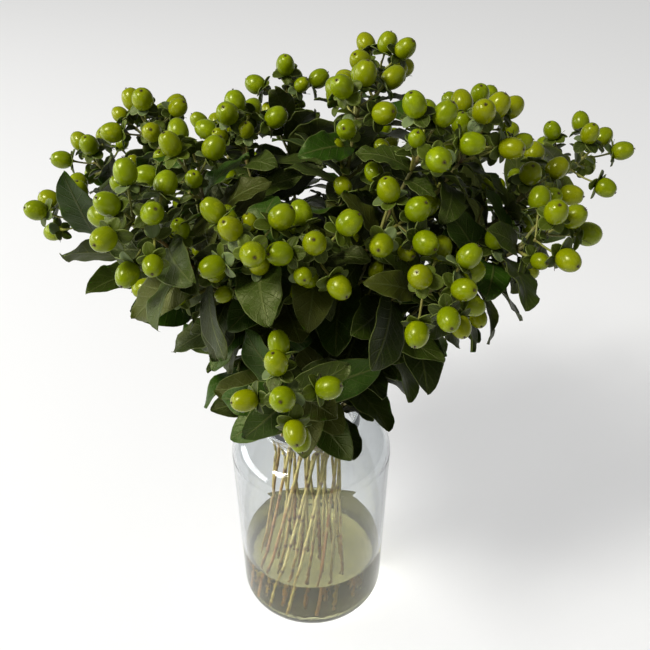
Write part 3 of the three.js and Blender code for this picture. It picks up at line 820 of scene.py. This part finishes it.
DRY_PARTS = {
    "cane_pith": Named(colour=(0.5, 0.45, 0.3), darker=(0.3, 0.24, 0.12), roughness=0.8,
                       clouds=900.0),
    "withered_tip": Named(colour=(0.06, 0.035, 0.012), darker=(0.02, 0.012, 0.005), roughness=0.6,
                          clouds=1200.0),
}
# glow and its colour make the glass and the water shine faintly from within: painted light that brightens
# them
CLEAR_PARTS = {
    "clear_glass": Named(tint=(0.9, 0.92, 0.93), index=1.5, deep=(0.06, 0.08, 0.1), density=36.0,
                         haze=(0.86, 0.9, 0.92), glow=5.5, waves=14.0, detail=0.5,
                         strength=0.06, height=0.6),
    "vase_water": Named(tint=(0.76, 0.73, 0.46), index=1.333, deep=(0.47, 0.44, 0.04),
                        density=28.0, haze=(0.56, 0.47, 0.14), glow=0.6, waves=70.0,
                        detail=0.6, strength=0.8, height=1.5),
}


class Nodes:
    """Short ways to wire a material's nodes."""

    def __init__(self, name):
        self.material = bpy.data.materials.new(name)
        self.material.use_nodes = True
        self.tree = self.material.node_tree
        self.shader = self.tree.nodes["Principled BSDF"]

    def new(self, kind, inputs=(), **settings):
        node = self.tree.nodes.new(kind)
        for key, value in settings.items():
            setattr(node, key, value)
        for socket, value in dict(inputs).items():
            self.feed(node.inputs[socket], value)
        return node

    def feed(self, socket, value):
        if isinstance(value, bpy.types.NodeSocket):
            self.tree.links.new(value, socket)
        else:
            socket.default_value = (*value, 1.0) if socket.type == "RGBA" else value

    def set(self, **inputs):
        for key, value in inputs.items():
            self.feed(self.shader.inputs[key.replace("_", " ")], value)

    def math(self, operation, a, b=0.0):
        return self.new("ShaderNodeMath", {0: a, 1: b}, operation=operation).outputs[0]

    def plus(self, a, b):
        return self.math("ADD", a, b)

    def minus(self, a, b):
        return self.math("SUBTRACT", a, b)

    def times(self, a, b):
        return self.math("MULTIPLY", a, b)

    def smooth(self, value, low, high, to_low=0.0, to_high=1.0):
        inputs = {"Value": value, "From Min": low, "From Max": high, "To Min": to_low,
                  "To Max": to_high}
        return self.new("ShaderNodeMapRange", inputs, interpolation_type="SMOOTHSTEP").outputs[0]

    def mix(self, factor, a, b):
        node = self.new("ShaderNodeMix", {"Factor": factor, 6: a, 7: b}, data_type="RGBA")
        return node.outputs[2]

    def coat(self, colour, *layers):
        """Tints laid over a colour: each has a value, its ramp (low, high, at low, at high) and a tint."""
        for value, ramp, tint in layers:
            colour = self.mix(self.smooth(value, *ramp), colour, tint)
        return colour

    def place(self):
        return self.new("ShaderNodeTexCoord").outputs["Object"]

    def noise(self, scale, detail=2.0, roughness=0.5, vector=None):
        inputs = {"Scale": scale, "Detail": detail, "Roughness": roughness,
                  "Vector": vector or self.place()}
        return self.new("ShaderNodeTexNoise", inputs).outputs["Fac"]

    def net(self, scale):
        """A fine net of veins, 1 on its lines."""
        inputs = {"Vector": self.place(), "Scale": scale}
        cells = self.new("ShaderNodeTexVoronoi", inputs, feature="DISTANCE_TO_EDGE")
        return self.smooth(cells.outputs["Distance"], 0.02, 0.1, 1.0, 0.0)

    def plan(self):
        """The three values that each mesh keeps at its points."""
        attribute = self.new("ShaderNodeAttribute", attribute_name="plan")
        split = self.new("ShaderNodeSeparateXYZ", {0: attribute.outputs["Vector"]})
        return split.outputs[0], split.outputs[1], split.outputs[2]

    def soften(self, weight, radius):
        """Light spreads under the surface by a radius for each colour."""
        self.set(Subsurface_Weight=weight, Subsurface_Radius=[r * MM for r in radius],
                 Subsurface_Scale=1.0)

    def fill(self, colour, density, haze, amount):
        """Light fades on a long way through the body, and the body gives off a faint glow of its own
        instead: painted light.
        """
        fading = self.new("ShaderNodeVolumeAbsorption", {"Color": colour, "Density": density})
        glow = self.new("ShaderNodeEmission", {"Color": haze, "Strength": amount})
        both = self.new("ShaderNodeAddShader", {0: fading.outputs[0], 1: glow.outputs[0]})
        self.feed(self.tree.nodes["Material Output"].inputs["Volume"], both.outputs[0])

    def bump(self, height, strength, distance):
        inputs = {"Height": height, "Strength": strength, "Distance": distance * MM}
        self.set(Normal=self.new("ShaderNodeBump", inputs).outputs[0])


def leaf_veins(nodes, s, w, pairs, slant):
    """How near a point of a blade is to its midrib and to its side veins, 0 to 1 each."""
    side = nodes.math("ABSOLUTE", w)
    midrib = nodes.smooth(side, 0.02, 0.09, 1.0, 0.0)
    curved = nodes.math("POWER", side, 0.8)
    step = nodes.times(nodes.minus(s, nodes.times(curved, slant)), pairs)
    near = nodes.math("PINGPONG", step, 0.5)
    veins = nodes.smooth(near, 0.02, 0.1, 1.0, 0.0)
    fading = nodes.smooth(side, 0.25, 0.95, 1.0, 0.25)
    return midrib, nodes.times(veins, fading)


def leaf_material(name):
    """A blade's face: plan is s, w and a tone for each leaf."""
    look = LEAF_FACES[name]
    nodes = Nodes(name)
    s, w, tone = nodes.plan()
    midrib, veins = leaf_veins(nodes, s, w, 7.0, 0.22)
    patches = nodes.noise(90.0, 4.0, 0.6)
    mottled = nodes.plus(nodes.times(patches, 0.6), nodes.times(tone, 0.6))
    kind = nodes.math("FRACT", nodes.times(tone, 9.7))
    colour = nodes.coat(look.deep, (mottled, (0.25, 0.95), look.blade),
                        (kind, (0.72, 0.9, 0.0, 0.9), look.fresh),
                        (kind, (0.08, 0.24, 0.8, 0.0), look.olive))
    net = nodes.net(390.0)
    for lines, share in ((net, 0.1), (veins, look.veined), (midrib, 0.7)):
        colour = nodes.mix(nodes.times(lines, share), colour, look.vein)
    # a pale line along the blade's edge on both faces: a painted catch light
    edge = nodes.smooth(nodes.math("ABSOLUTE", w), 0.94, 0.99)
    colour = nodes.mix(nodes.times(edge, 0.7), colour, look.rim)
    colour = nodes.coat(colour, (tone, (0.988, 0.992), YELLOWED))
    relief = nodes.minus(nodes.times(nodes.noise(1400.0, 2.0, 0.6), 0.25), veins)
    relief = nodes.minus(relief, nodes.times(net, 0.35))
    relief = nodes.minus(relief, nodes.times(midrib, 1.2))
    smooth, rough = look.roughness - 0.07, look.roughness + 0.07
    nodes.set(Base_Color=colour, Roughness=nodes.smooth(patches, 0.3, 0.7, smooth, rough),
              Specular_IOR_Level=0.26, Specular_Tint=(1.0, 1.0, 0.5))
    nodes.soften(0.05, (0.4, 1.0, 0.2))
    nodes.bump(relief, 0.6, 0.35)
    return nodes.material


def berry_material():
    """Plan is the height up the berry, the turn from its seam and the berry's tone."""
    look = SKIN_COLOURS
    nodes = Nodes("berry_skin")
    height, turn, tone = nodes.plan()
    cloud = nodes.noise(160.0, 3.0, 0.6)
    ripe = nodes.plus(tone, nodes.times(cloud, 0.5))
    colour = nodes.coat(look.lime, (ripe, (0.55, 1.25), look.yellow))
    shade = nodes.minus(cloud, nodes.times(tone, 0.3))
    colour = nodes.coat(nodes.mix(0.5, colour, look.deep), (shade, (0.35, 0.62), colour))
    lengthwise = nodes.new("ShaderNodeCombineXYZ", {
        0: nodes.times(turn, 5.0), 1: height, 2: nodes.times(tone, 40.0),
    }).outputs[0]
    streaks = nodes.noise(1.6, 2.0, 0.6, lengthwise)
    colour = nodes.coat(colour, (height, (0.0, 0.22, 0.4, 0.0), look.base),
                        (streaks, (0.5, 0.75, 0.0, 0.12), look.streak),
                        (nodes.noise(1500.0, 1.0, 0.5), (0.66, 0.74, 0.0, 0.25), look.dot),
                        (height, (0.986, 0.998, 0.0, 0.9), look.dimple))
    nodes.set(Base_Color=colour, Roughness=nodes.smooth(cloud, 0.3, 0.7, 0.2, 0.29),
              Specular_IOR_Level=0.3, Specular_Tint=(1.0, 1.0, 0.6))
    nodes.soften(0.08, (1.2, 1.4, 0.3))
    nodes.bump(nodes.plus(nodes.noise(700.0, 2.0, 0.5), nodes.times(streaks, 0.8)), 0.12, 0.25)
    return nodes.material


def sepal_material():
    """Plan is s, w and a tone, as on a leaf."""
    look = SEPAL_COLOURS
    nodes = Nodes("sepal")
    s, w, tone = nodes.plan()
    veins = nodes.math("MAXIMUM", *leaf_veins(nodes, s, w, 5.0, 0.35))
    colour = nodes.mix(tone, look.dark, look.light)
    kind = nodes.math("FRACT", nodes.times(tone, 7.3))
    colour = nodes.coat(colour, (kind, (0.84, 0.92, 0.0, 0.85), look.pale))
    colour = nodes.mix(nodes.times(veins, 0.3), colour, look.vein)
    edge = nodes.smooth(nodes.math("ABSOLUTE", w), 0.84, 0.99)
    colour = nodes.mix(nodes.times(edge, 0.55), colour, look.rim)
    nodes.set(Base_Color=colour, Roughness=0.48, Specular_IOR_Level=0.25,
              Specular_Tint=(1.0, 1.0, 0.6))
    nodes.soften(0.08, (0.6, 1.2, 0.2))
    nodes.bump(veins, 0.4, 0.15)
    return nodes.material


def twig_material(name):
    """Bark: plan is the place along it, a share of knot and a tone."""
    look = TWIGS[name]
    nodes = Nodes(name)
    along, knots, tone = nodes.plan()
    inputs = {"Vector": nodes.place(), "Scale": (1.0, 1.0, 0.12)}
    grain = nodes.noise(1500.0, 3.0, 0.6, nodes.new("ShaderNodeMapping", inputs).outputs[0])
    blotches = nodes.noise(120.0, 3.0, 0.6)
    level = nodes.plus(along, nodes.times(nodes.minus(blotches, 0.5), 0.7))
    level = nodes.plus(level, nodes.times(nodes.minus(tone, 0.5), 0.5))
    colour = nodes.coat(look.low, (level, (0.02, 0.22), look.middle),
                        (level, (0.35, 0.75), look.high),
                        (tone, (0.7, 0.95, 0.0, 0.55), look.low),
                        (knots, (0.2, 0.8, 0.0, 0.9), look.knot),
                        (grain, (0.35, 0.7, 0.35, 0.0), look.knot))
    nodes.set(Base_Color=colour, Roughness=0.55)
    nodes.bump(grain, 0.5, 0.2)
    return nodes.material


def dry_material(name):
    look = DRY_PARTS[name]
    nodes = Nodes(name)
    cloud = nodes.noise(look.clouds, 3.0, 0.6)
    colour = nodes.coat(look.darker, (cloud, (0.35, 0.65), look.colour))
    nodes.set(Base_Color=colour, Roughness=look.roughness)
    nodes.bump(cloud, 0.2, 0.15)
    return nodes.material


def clear_material(name):
    """Glass or water, with a wavy surface; its volume fades light and gives off a faint painted glow."""
    look = CLEAR_PARTS[name]
    nodes = Nodes(name)
    nodes.set(Base_Color=look.tint, Roughness=0.0, IOR=look.index, Transmission_Weight=1.0)
    # the volume's emission is painted light, not a haze in the body
    nodes.fill(look.deep, look.density, look.haze, look.glow)
    nodes.bump(nodes.noise(look.waves, 3.0, look.detail), look.strength, look.height)
    return nodes.material


# ---- the vase and the water ----

DOME = 0.8  # how far the middle of the underside is off the table
LATHE_SIDES = 144
RIGHT = math.pi / 2
WETTING = Named(into=0.12, climb=1.6, width=3.2)


def wall_line(start, end, count, inward=0.0):
    """Points of the vase's wall from one height to another, moved inward."""
    return [[outer_wall_at(z) - inward, z] for z in np.linspace(start, end, count)]


def lathed(name, profile, material):
    """A clear body of revolution, which casts no shadow."""
    pile = Pile()
    pile.add(*lathe(profile, LATHE_SIDES))
    piece = pile.make(name, [material])
    piece.visible_shadow = False
    return piece


def make_vase():
    wall, neck, lip, height = VASE.wall, VASE.neck_radius, VASE.lip_radius, VASE.height
    corner, start, top = VASE.corner_radius, VASE.shoulder_start, VASE.shoulder_top
    shoulder = [VASE.shoulder_radius - neck, top - start]
    lip_round = (lip - (neck - wall)) / 2
    profile = np.vstack([
        [[0, DOME]],
        [[r, DOME * (1 - (r / INNER_FLAT) ** 2)] for r in np.linspace(6, INNER_FLAT - 2, 6)],
        quarter([INNER_FLAT, corner], [corner, corner], -RIGHT, 0, 12),
        wall_line(corner + 8, start - 8, 10),
        quarter([neck, start], shoulder, 0, RIGHT - 0.12, 16),
        [[neck + 0.5, top + 0.8], [neck + 0.9, height - 5.5]],
        quarter([lip - lip_round, height - 3], [lip_round, 2.9], -0.5, math.pi - 0.2, 12),
        [[neck - wall, height - 5], [neck - wall - 0.1, top - 0.5]],
        quarter([neck - wall, start], [shoulder[0], shoulder[1] - wall], RIGHT - 0.1, 0, 16),
        wall_line(start - 8, corner + 8, 10, wall),
        quarter([INNER_FLAT, VASE.floor + INNER_CORNER], [INNER_CORNER, INNER_CORNER], 0, -RIGHT, 12),
        [[r, VASE.floor] for r in np.linspace(INNER_FLAT - 2, 6, 6)],
        [[0, VASE.floor]],
    ])
    piece = lathed("glass_vase", profile, clear_material("clear_glass"))
    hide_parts("vase")
    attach(piece, "root")


def make_water():
    """The water wets the glass, so it reaches a hair into it, and climbs its wall a little."""
    into, climb, width = WETTING.into, WETTING.climb, WETTING.width
    floor, corner = VASE.floor, INNER_CORNER + into
    surface = outer_wall_at(WATER_LEVEL) - VASE.wall + into
    edge = surface - 0.2
    profile = np.vstack([
        [[0, floor - into]],
        [[r, floor - into] for r in np.linspace(6, INNER_FLAT - 2, 6)],
        quarter([INNER_FLAT, floor + INNER_CORNER], [corner, corner], -RIGHT, 0, 12),
        wall_line(18, WATER_LEVEL + 0.8, 12, VASE.wall - into),
        [[surface, WATER_LEVEL + climb * 0.9], [edge, WATER_LEVEL + climb]],
        [[edge - d, WATER_LEVEL + climb * (1 - d / width) ** 2.4] for d in np.linspace(0.3, 3, 9)],
        [[r, WATER_LEVEL] for r in np.linspace(surface - 4.2, 5, 12)],
        [[0, WATER_LEVEL]],
    ])
    piece = lathed("vase_water", profile, clear_material("vase_water"))
    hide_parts("water")
    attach(piece, "root")


# ---- leaves and canes ----

LEAF_UPPER, LEAF_LOWER, BARK, PITH = 0, 1, 2, 3
LARGE_GRID, SMALL_GRID = (17, 9), (13, 7)
SMALL_LENGTH = 34
BLADE = Named(thickness=0.45, rib=0.55, rib_half=0.12, groove=0.45, curve=1.35)
CANE = Named(sides=10, joints=14, joint_spacing=0.96, joint_length=1.6, swelling=0.22)


def add_sheet(pile, upper, lower, plan, slots):
    """A thin sheet from two grids of points, closed round its rim."""
    rows, columns = plan.shape[:2]
    count = rows * columns
    faces = grid_quads(rows, columns)
    rim = np.concatenate([
        np.arange(columns), np.arange(1, rows) * columns + columns - 1,
        (rows - 1) * columns + np.arange(columns - 2, -1, -1), np.arange(rows - 2, 0, -1) * columns,
    ])
    onward = np.roll(rim, -1)
    edge = np.stack([rim, onward, onward + count, rim + count], axis=1)
    slot = np.repeat([slots[0], slots[1], slots[0]], [len(faces), len(faces), len(edge)])
    pile.add(np.vstack([upper.reshape(-1, 3), lower.reshape(-1, 3)]),
             np.vstack([faces[:, ::-1], faces + count, edge]), slot=slot, tri_slot=0,
             plan=np.vstack([plan.reshape(-1, 3)] * 2))


def sheet_plan(s, w, tone):
    plan = np.zeros((len(s), len(w), 3))
    plan[..., 0], plan[..., 1], plan[..., 2] = s[:, None], w[None, :], tone
    return plan


def add_blade(pile, leaf, tone, rows, columns):
    """A thin blade with a furrow over its midrib, which stands out below, and a rippled margin."""
    s = np.concatenate([[0.012], np.linspace(0.05, 0.985, rows - 2), [0.9985]])
    w = np.sin(np.linspace(-1, 1, columns) * math.pi / 2 * 0.999)
    half = BLADE.thickness * (1 - 0.5 * w ** 2)[None, :] / 2
    rib = BLADE.rib * np.exp(-(w / BLADE.rib_half) ** 2)[None, :] * (1 - 0.7 * s)[:, None]
    depth = 0.4 + 0.9 * (leaf.phase * 1.7 % 1)
    waves = 2.4 + 1.6 * (leaf.phase * 2.9 % 1)
    shift = np.where(w > 0, 1.9, 0)[None, :]
    ripple = np.sin(TURN * waves * s[:, None] + leaf.phase * 3 + shift)
    ripple = depth * ripple * np.abs(w) ** 3
    upper = blade_points(leaf, s, w, ripple + half - BLADE.groove * rib, BLADE.curve)
    lower = blade_points(leaf, s, w, ripple - half - rib, BLADE.curve)
    add_sheet(pile, upper, lower, sheet_plan(s, w, tone), (LEAF_UPPER, LEAF_LOWER))


def cane_path(plan):
    """Points up the cane with how far up they are, from its foot to its top."""
    rise = plan.neck - plan.foot
    straight = [plan.foot + rise * t for t in np.linspace(0, 1, 40)[:-1]]
    bent = [bezier(plan.bend, t) for t in np.linspace(0, 1, 46)]
    path = np.array(straight + bent)
    steps = np.linalg.norm(np.diff(path, axis=0), axis=1)
    return path, np.concatenate([[0], np.cumsum(steps)])


def add_cane(pile, plan, draw):
    """A slim cane, swollen at the joints where leaves grow or were stripped, with pith at its cut."""
    path, run = cane_path(plan)
    spacing = np.arange(CANE.joints) * LEVELS.spacing * CANE.joint_spacing
    joints = run[-1] - LEVELS.first - spacing + either_way(draw, 2)
    near = np.exp(-((run[:, None] - joints[None]) / CANE.joint_length) ** 2).sum(axis=1)
    share = run / run[-1]
    radii = CANE_RADIUS * (0.64 - 0.06 * share ** 1.5 + CANE.swelling * near)
    pile.add(*tube(path, radii, CANE.sides), slot=BARK,
             tri_slot=np.repeat([PITH, BARK], CANE.sides),
             plan=ring_plan(CANE.sides, share, np.clip(near, 0, 1)[:, None], draw(), last=1))


def make_stem(plan, leaves, fillers, materials):
    draw = draws_from("stem", plan.index)
    pile = Pile()
    add_cane(pile, plan, draw)
    for leaf in leaves:
        add_blade(pile, leaf, draw(), *LARGE_GRID)
    for leaf in fillers:
        grid = SMALL_GRID if leaf.length < SMALL_LENGTH else LARGE_GRID
        add_blade(pile, leaf, draw(), *grid)
    number = f"{plan.index + 1:02d}"
    piece = pile.make(f"leafy_stem_{number}", materials)
    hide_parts(f"stem_{number}")
    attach(piece, "root")


# ---- berries ----

SKIN, SEPAL, TWIG, TIP = 0, 1, 2, 3
BERRY_ROWS, BERRY_SIDES = 15, 20
FRUIT_LENGTH = 14.2  # a little shorter than the solid, whose tip is pointed
FURROW = Named(deep=0.05, width=0.22)
DIMPLE = Named(deep=0.55, width=0.07)
SEPALS = Named(count=5, longer=0.9, width=7.6, cup=0.9, half=0.18)
STALK_SIDES = 8


def add_berry(pile, berry, tone, draw):
    """An egg-shaped berry with three faint furrows and a dimple where its styles stood."""
    axes = facing(berry.along, berry.spin)
    t = np.linspace(0, 1, BERRY_ROWS)
    height = (1 - np.cos(math.pi * t)) / 2
    turns = np.arange(BERRY_SIDES) / BERRY_SIDES * TURN
    round_part = np.sin(math.pi * t) ** 0.9 * (1 + 0.07 * np.cos(math.pi * t))
    seam = np.exp(-((np.cos(1.5 * turns) / FURROW.width) ** 2))[None, :]
    furrow = 1 - FURROW.deep * seam * (height ** 1.2)[:, None]
    radius = BERRY.radius * berry.size * round_part[:, None] * furrow
    dimple = DIMPLE.deep * np.exp(-((1 - t) / DIMPLE.width) ** 2)
    z = FRUIT_LENGTH * berry.tall * height - dimple
    local = np.stack([radius * np.cos(turns), radius * np.sin(turns),
                      np.broadcast_to(z[:, None], radius.shape)], axis=-1)
    points, quads, tris = ringed(local[1:-1], [0, 0, z[0]], [0, 0, z[-1]])
    plan = ring_plan(BERRY_SIDES, height[1:-1], np.abs(turns - math.pi), tone, last=1)
    pile.add(points @ axes + berry.seat, quads, tris, slot=SKIN, plan=plan)
    apex = berry.seat + berry.along * (FRUIT_LENGTH * berry.tall - 0.5)
    for i in range(3):
        turn = i / 3 * TURN
        lean = unit(axes[2] + 0.7 * round_at(axes[0], axes[1], turn))
        path = [apex - lean * 0.2, apex + lean * 0.5, apex + lean * between(draw, 0.9, 1.3)]
        pile.add(*tube(path, [0.28, 0.22, 0.1], 5), slot=TIP)


def add_calyx(pile, berry, tone, draw):
    """Five rounded sepals that spread under the berry and bend back, and three withered stamens."""
    axes = facing(berry.along, berry.spin)
    for i in range(SEPALS.count):
        turn = i / SEPALS.count * TURN + either_way(draw, 0.1)
        out = round_at(axes[0], axes[1], turn)
        tilt = between(draw, -0.18, 0.3)
        along = unit(out * math.cos(tilt) + axes[2] * math.sin(tilt))
        normal = square_to(along, axes[2])
        size = between(draw, 0.82, 1.12)
        sepal = new_leaf(berry.seat + axes[2] * 0.2, along, normal,
                         (BERRY.sepal + SEPALS.longer) * size * berry.tall,
                         SEPALS.width * size * berry.tall, between(draw, 0.1, 0.75))
        add_sepal(pile, sepal, min(1, max(0, tone + either_way(draw, 0.2))))
    for _ in range(3):
        turn = between(draw, 0, TURN)
        out = round_at(axes[0], axes[1], turn)
        length = between(draw, 4, 8)
        root = berry.seat + out * 1.6 + axes[2] * 0.5
        bent = either_way(draw, 0.5)
        path = [root + (out * 0.9 + axes[2] * (0.25 + bent * t)) * length * t for t in (0, 0.5, 1)]
        pile.add(*tube(path, [0.14, 0.1, 0.16], 4), slot=TIP if draw() < 0.4 else SEPAL, plan=0.7)


def add_sepal(pile, sepal, tone):
    """A small cupped sheet, broadest beyond its middle and rounded at its tip."""
    s = np.array([0.02, 0.14, 0.36, 0.6, 0.82, 0.95, 0.998])
    w = np.linspace(-1, 1, 5)
    outline = np.maximum(0, np.sin(math.pi * s ** 1.25)) ** 0.5
    middle, _ = droop_line(sepal, s[:, None])
    across = sepal.width / 2 * outline[:, None] * w[None, :]
    cup = SEPALS.cup * (w ** 2)[None, :] * outline[:, None]
    middle = middle + sepal.side * across[..., None] + sepal.normal * cup[..., None]
    lift = sepal.normal * SEPALS.half
    add_sheet(pile, middle + lift, middle - lift, sheet_plan(s, w, tone), (SEPAL, SEPAL))


def add_pedicel(pile, berry, tone):
    """A thin stalk that leaves its joint a little steeper and widens under the calyx."""
    span = berry.seat - berry.root
    sag = unit(np.cross(np.cross(span, UP), span) + 1e-6) * 0.05 * np.linalg.norm(span)
    t = np.linspace(0, 1, 9)
    path = berry.root + t[:, None] * (span + berry.along * 0.6)
    path = path - np.sin(math.pi * t)[:, None] * sag
    radii = 0.62 + 0.25 * np.exp(-(t / 0.12) ** 2) + 0.75 * np.clip((t - 0.8) / 0.2, 0, 1) ** 1.5
    knots = np.exp(-(t / 0.06) ** 2)[:, None]
    pile.add(*tube(path, radii, STALK_SIDES), slot=TWIG,
             plan=ring_plan(STALK_SIDES, 0.4 + 0.6 * t, knots, tone))


def add_stalk(pile, spray, joints, tone):
    """The peduncle of a spray, a little swollen where its branches leave."""
    span = spray.tip - spray.start
    length = np.linalg.norm(span)
    t = np.linspace(0, 1, 14)
    knots = sum(np.exp(-((length * t - joint) / 1.1) ** 2) for joint in joints)
    path = spray.start + t[:, None] * span
    pile.add(*tube(path, 1.05 - 0.35 * t + 0.45 * knots, STALK_SIDES), slot=TWIG,
             plan=ring_plan(STALK_SIDES, 0.2 + 0.5 * t, np.clip(knots, 0, 1)[:, None] * 0.6, tone))


def add_bractlets(pile, spray, joints, draw):
    """Small leaves in pairs at the joints of a peduncle."""
    axis = spray.axis
    for joint in joints:
        root = spray.start + axis * joint
        spin = between(draw, 0, TURN)
        for half in (0, 1):
            along = tilted(axis, between(draw, 0.9, 1.3), spin + half * math.pi)
            bractlet = new_leaf(root, along, square_to(along, axis), between(draw, 8, 13),
                                between(draw, 4.5, 7), between(draw, 0.2, 0.9))
            add_sepal(pile, bractlet, draw() * 0.5)


def add_fruit(pile, spray, joints, draw):
    """All of one spray: its peduncle, its berries and its bractlets."""
    add_stalk(pile, spray, joints, draw())
    ripeness = draw()
    for berry in spray.berries:
        tone = min(1, max(0, 0.6 * ripeness + 0.5 * draw()))
        add_berry(pile, berry, tone, draw)
        add_calyx(pile, berry, draw(), draw)
        add_pedicel(pile, berry, draw())
    add_bractlets(pile, spray, joints, draw)


def make_spray(plan, spray, sides, materials):
    draw = draws_from("fruit", plan.index)
    pile = Pile()
    add_fruit(pile, spray, [pair.height - GAP for pair in PAIRS], draw)
    for side in sides:
        add_fruit(pile, side, [np.linalg.norm(side.tip - side.start) - 4], draw)
    number = f"{plan.index + 1:02d}"
    piece = pile.make(f"berry_spray_{number}", materials)
    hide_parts(f"berries_{number}")
    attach(piece, "root")


# ---- the stage ----

def make_stage():
    nodes = Nodes("pale_floor")
    nodes.set(Base_Color=[FLOOR.grey] * 3, Roughness=FLOOR.roughness,
              Emission_Color=(1.0, 1.0, 1.0), Emission_Strength=FLOOR.glow)
    mesh = bpy.data.meshes.new("floor")
    far, z = FLOOR.half, -FLOOR.below
    mesh.from_pydata([(-far, -far, z), (far, -far, z), (far, far, z), (-far, far, z)], [],
                     [(0, 1, 2, 3)])
    mesh.materials.append(nodes.material)
    floor = bpy.data.objects.new("floor", mesh)
    bpy.context.collection.objects.link(floor)

    world = bpy.data.worlds.new("studio")
    world.use_nodes = True
    background = world.node_tree.nodes["Background"]
    background.inputs["Color"].default_value = (*WORLD.colour, 1.0)
    background.inputs["Strength"].default_value = WORLD.strength
    bpy.context.scene.world = world
    bpy.context.scene.view_settings.view_transform = "Standard"
    for light in LIGHTS:
        add_light(**vars(light))


def add_light(name, place, target, size, power, colour):
    data = bpy.data.lights.new(name, "AREA")
    data.shape = "RECTANGLE"
    data.size, data.size_y = size
    data.energy = power
    data.color = colour
    light = bpy.data.objects.new(name, data)
    light.location = place
    light.rotation_euler = (Vector(target) - Vector(place)).to_track_quat("-Z", "Y").to_euler()
    bpy.context.collection.objects.link(light)


def make_camera():
    data = bpy.data.cameras.new("camera")
    data.sensor_width = CAMERA.sensor
    data.lens = CAMERA.lens
    camera = bpy.data.objects.new("camera", data)
    camera.location = [v * MM for v in CAMERA.place]
    camera.rotation_euler = (math.radians(90 - CAMERA.down), 0, 0)
    bpy.context.collection.objects.link(camera)
    bpy.context.scene.camera = camera


# ---- the whole ----

def main():
    make_camera()
    make_stage()
    make_vase()
    make_water()
    room = Room()
    plans = plan_canes(room)
    sprays = [plan_spray(plan, room) for plan in plans]
    leaves = plan_leaves(plans, room)
    sides, fillers = plan_growth(plans, sprays, leaves)
    foliage = [leaf_material("leaf_upper"), leaf_material("leaf_lower"), twig_material("cane_bark"),
               dry_material("cane_pith")]
    fruit = [berry_material(), sepal_material(), twig_material("pedicel"),
             dry_material("withered_tip")]
    for plan in plans:
        index = plan.index
        make_stem(plan, leaves[index], fillers[index], foliage)
        make_spray(plan, sprays[index], sides[index], fruit)


main()
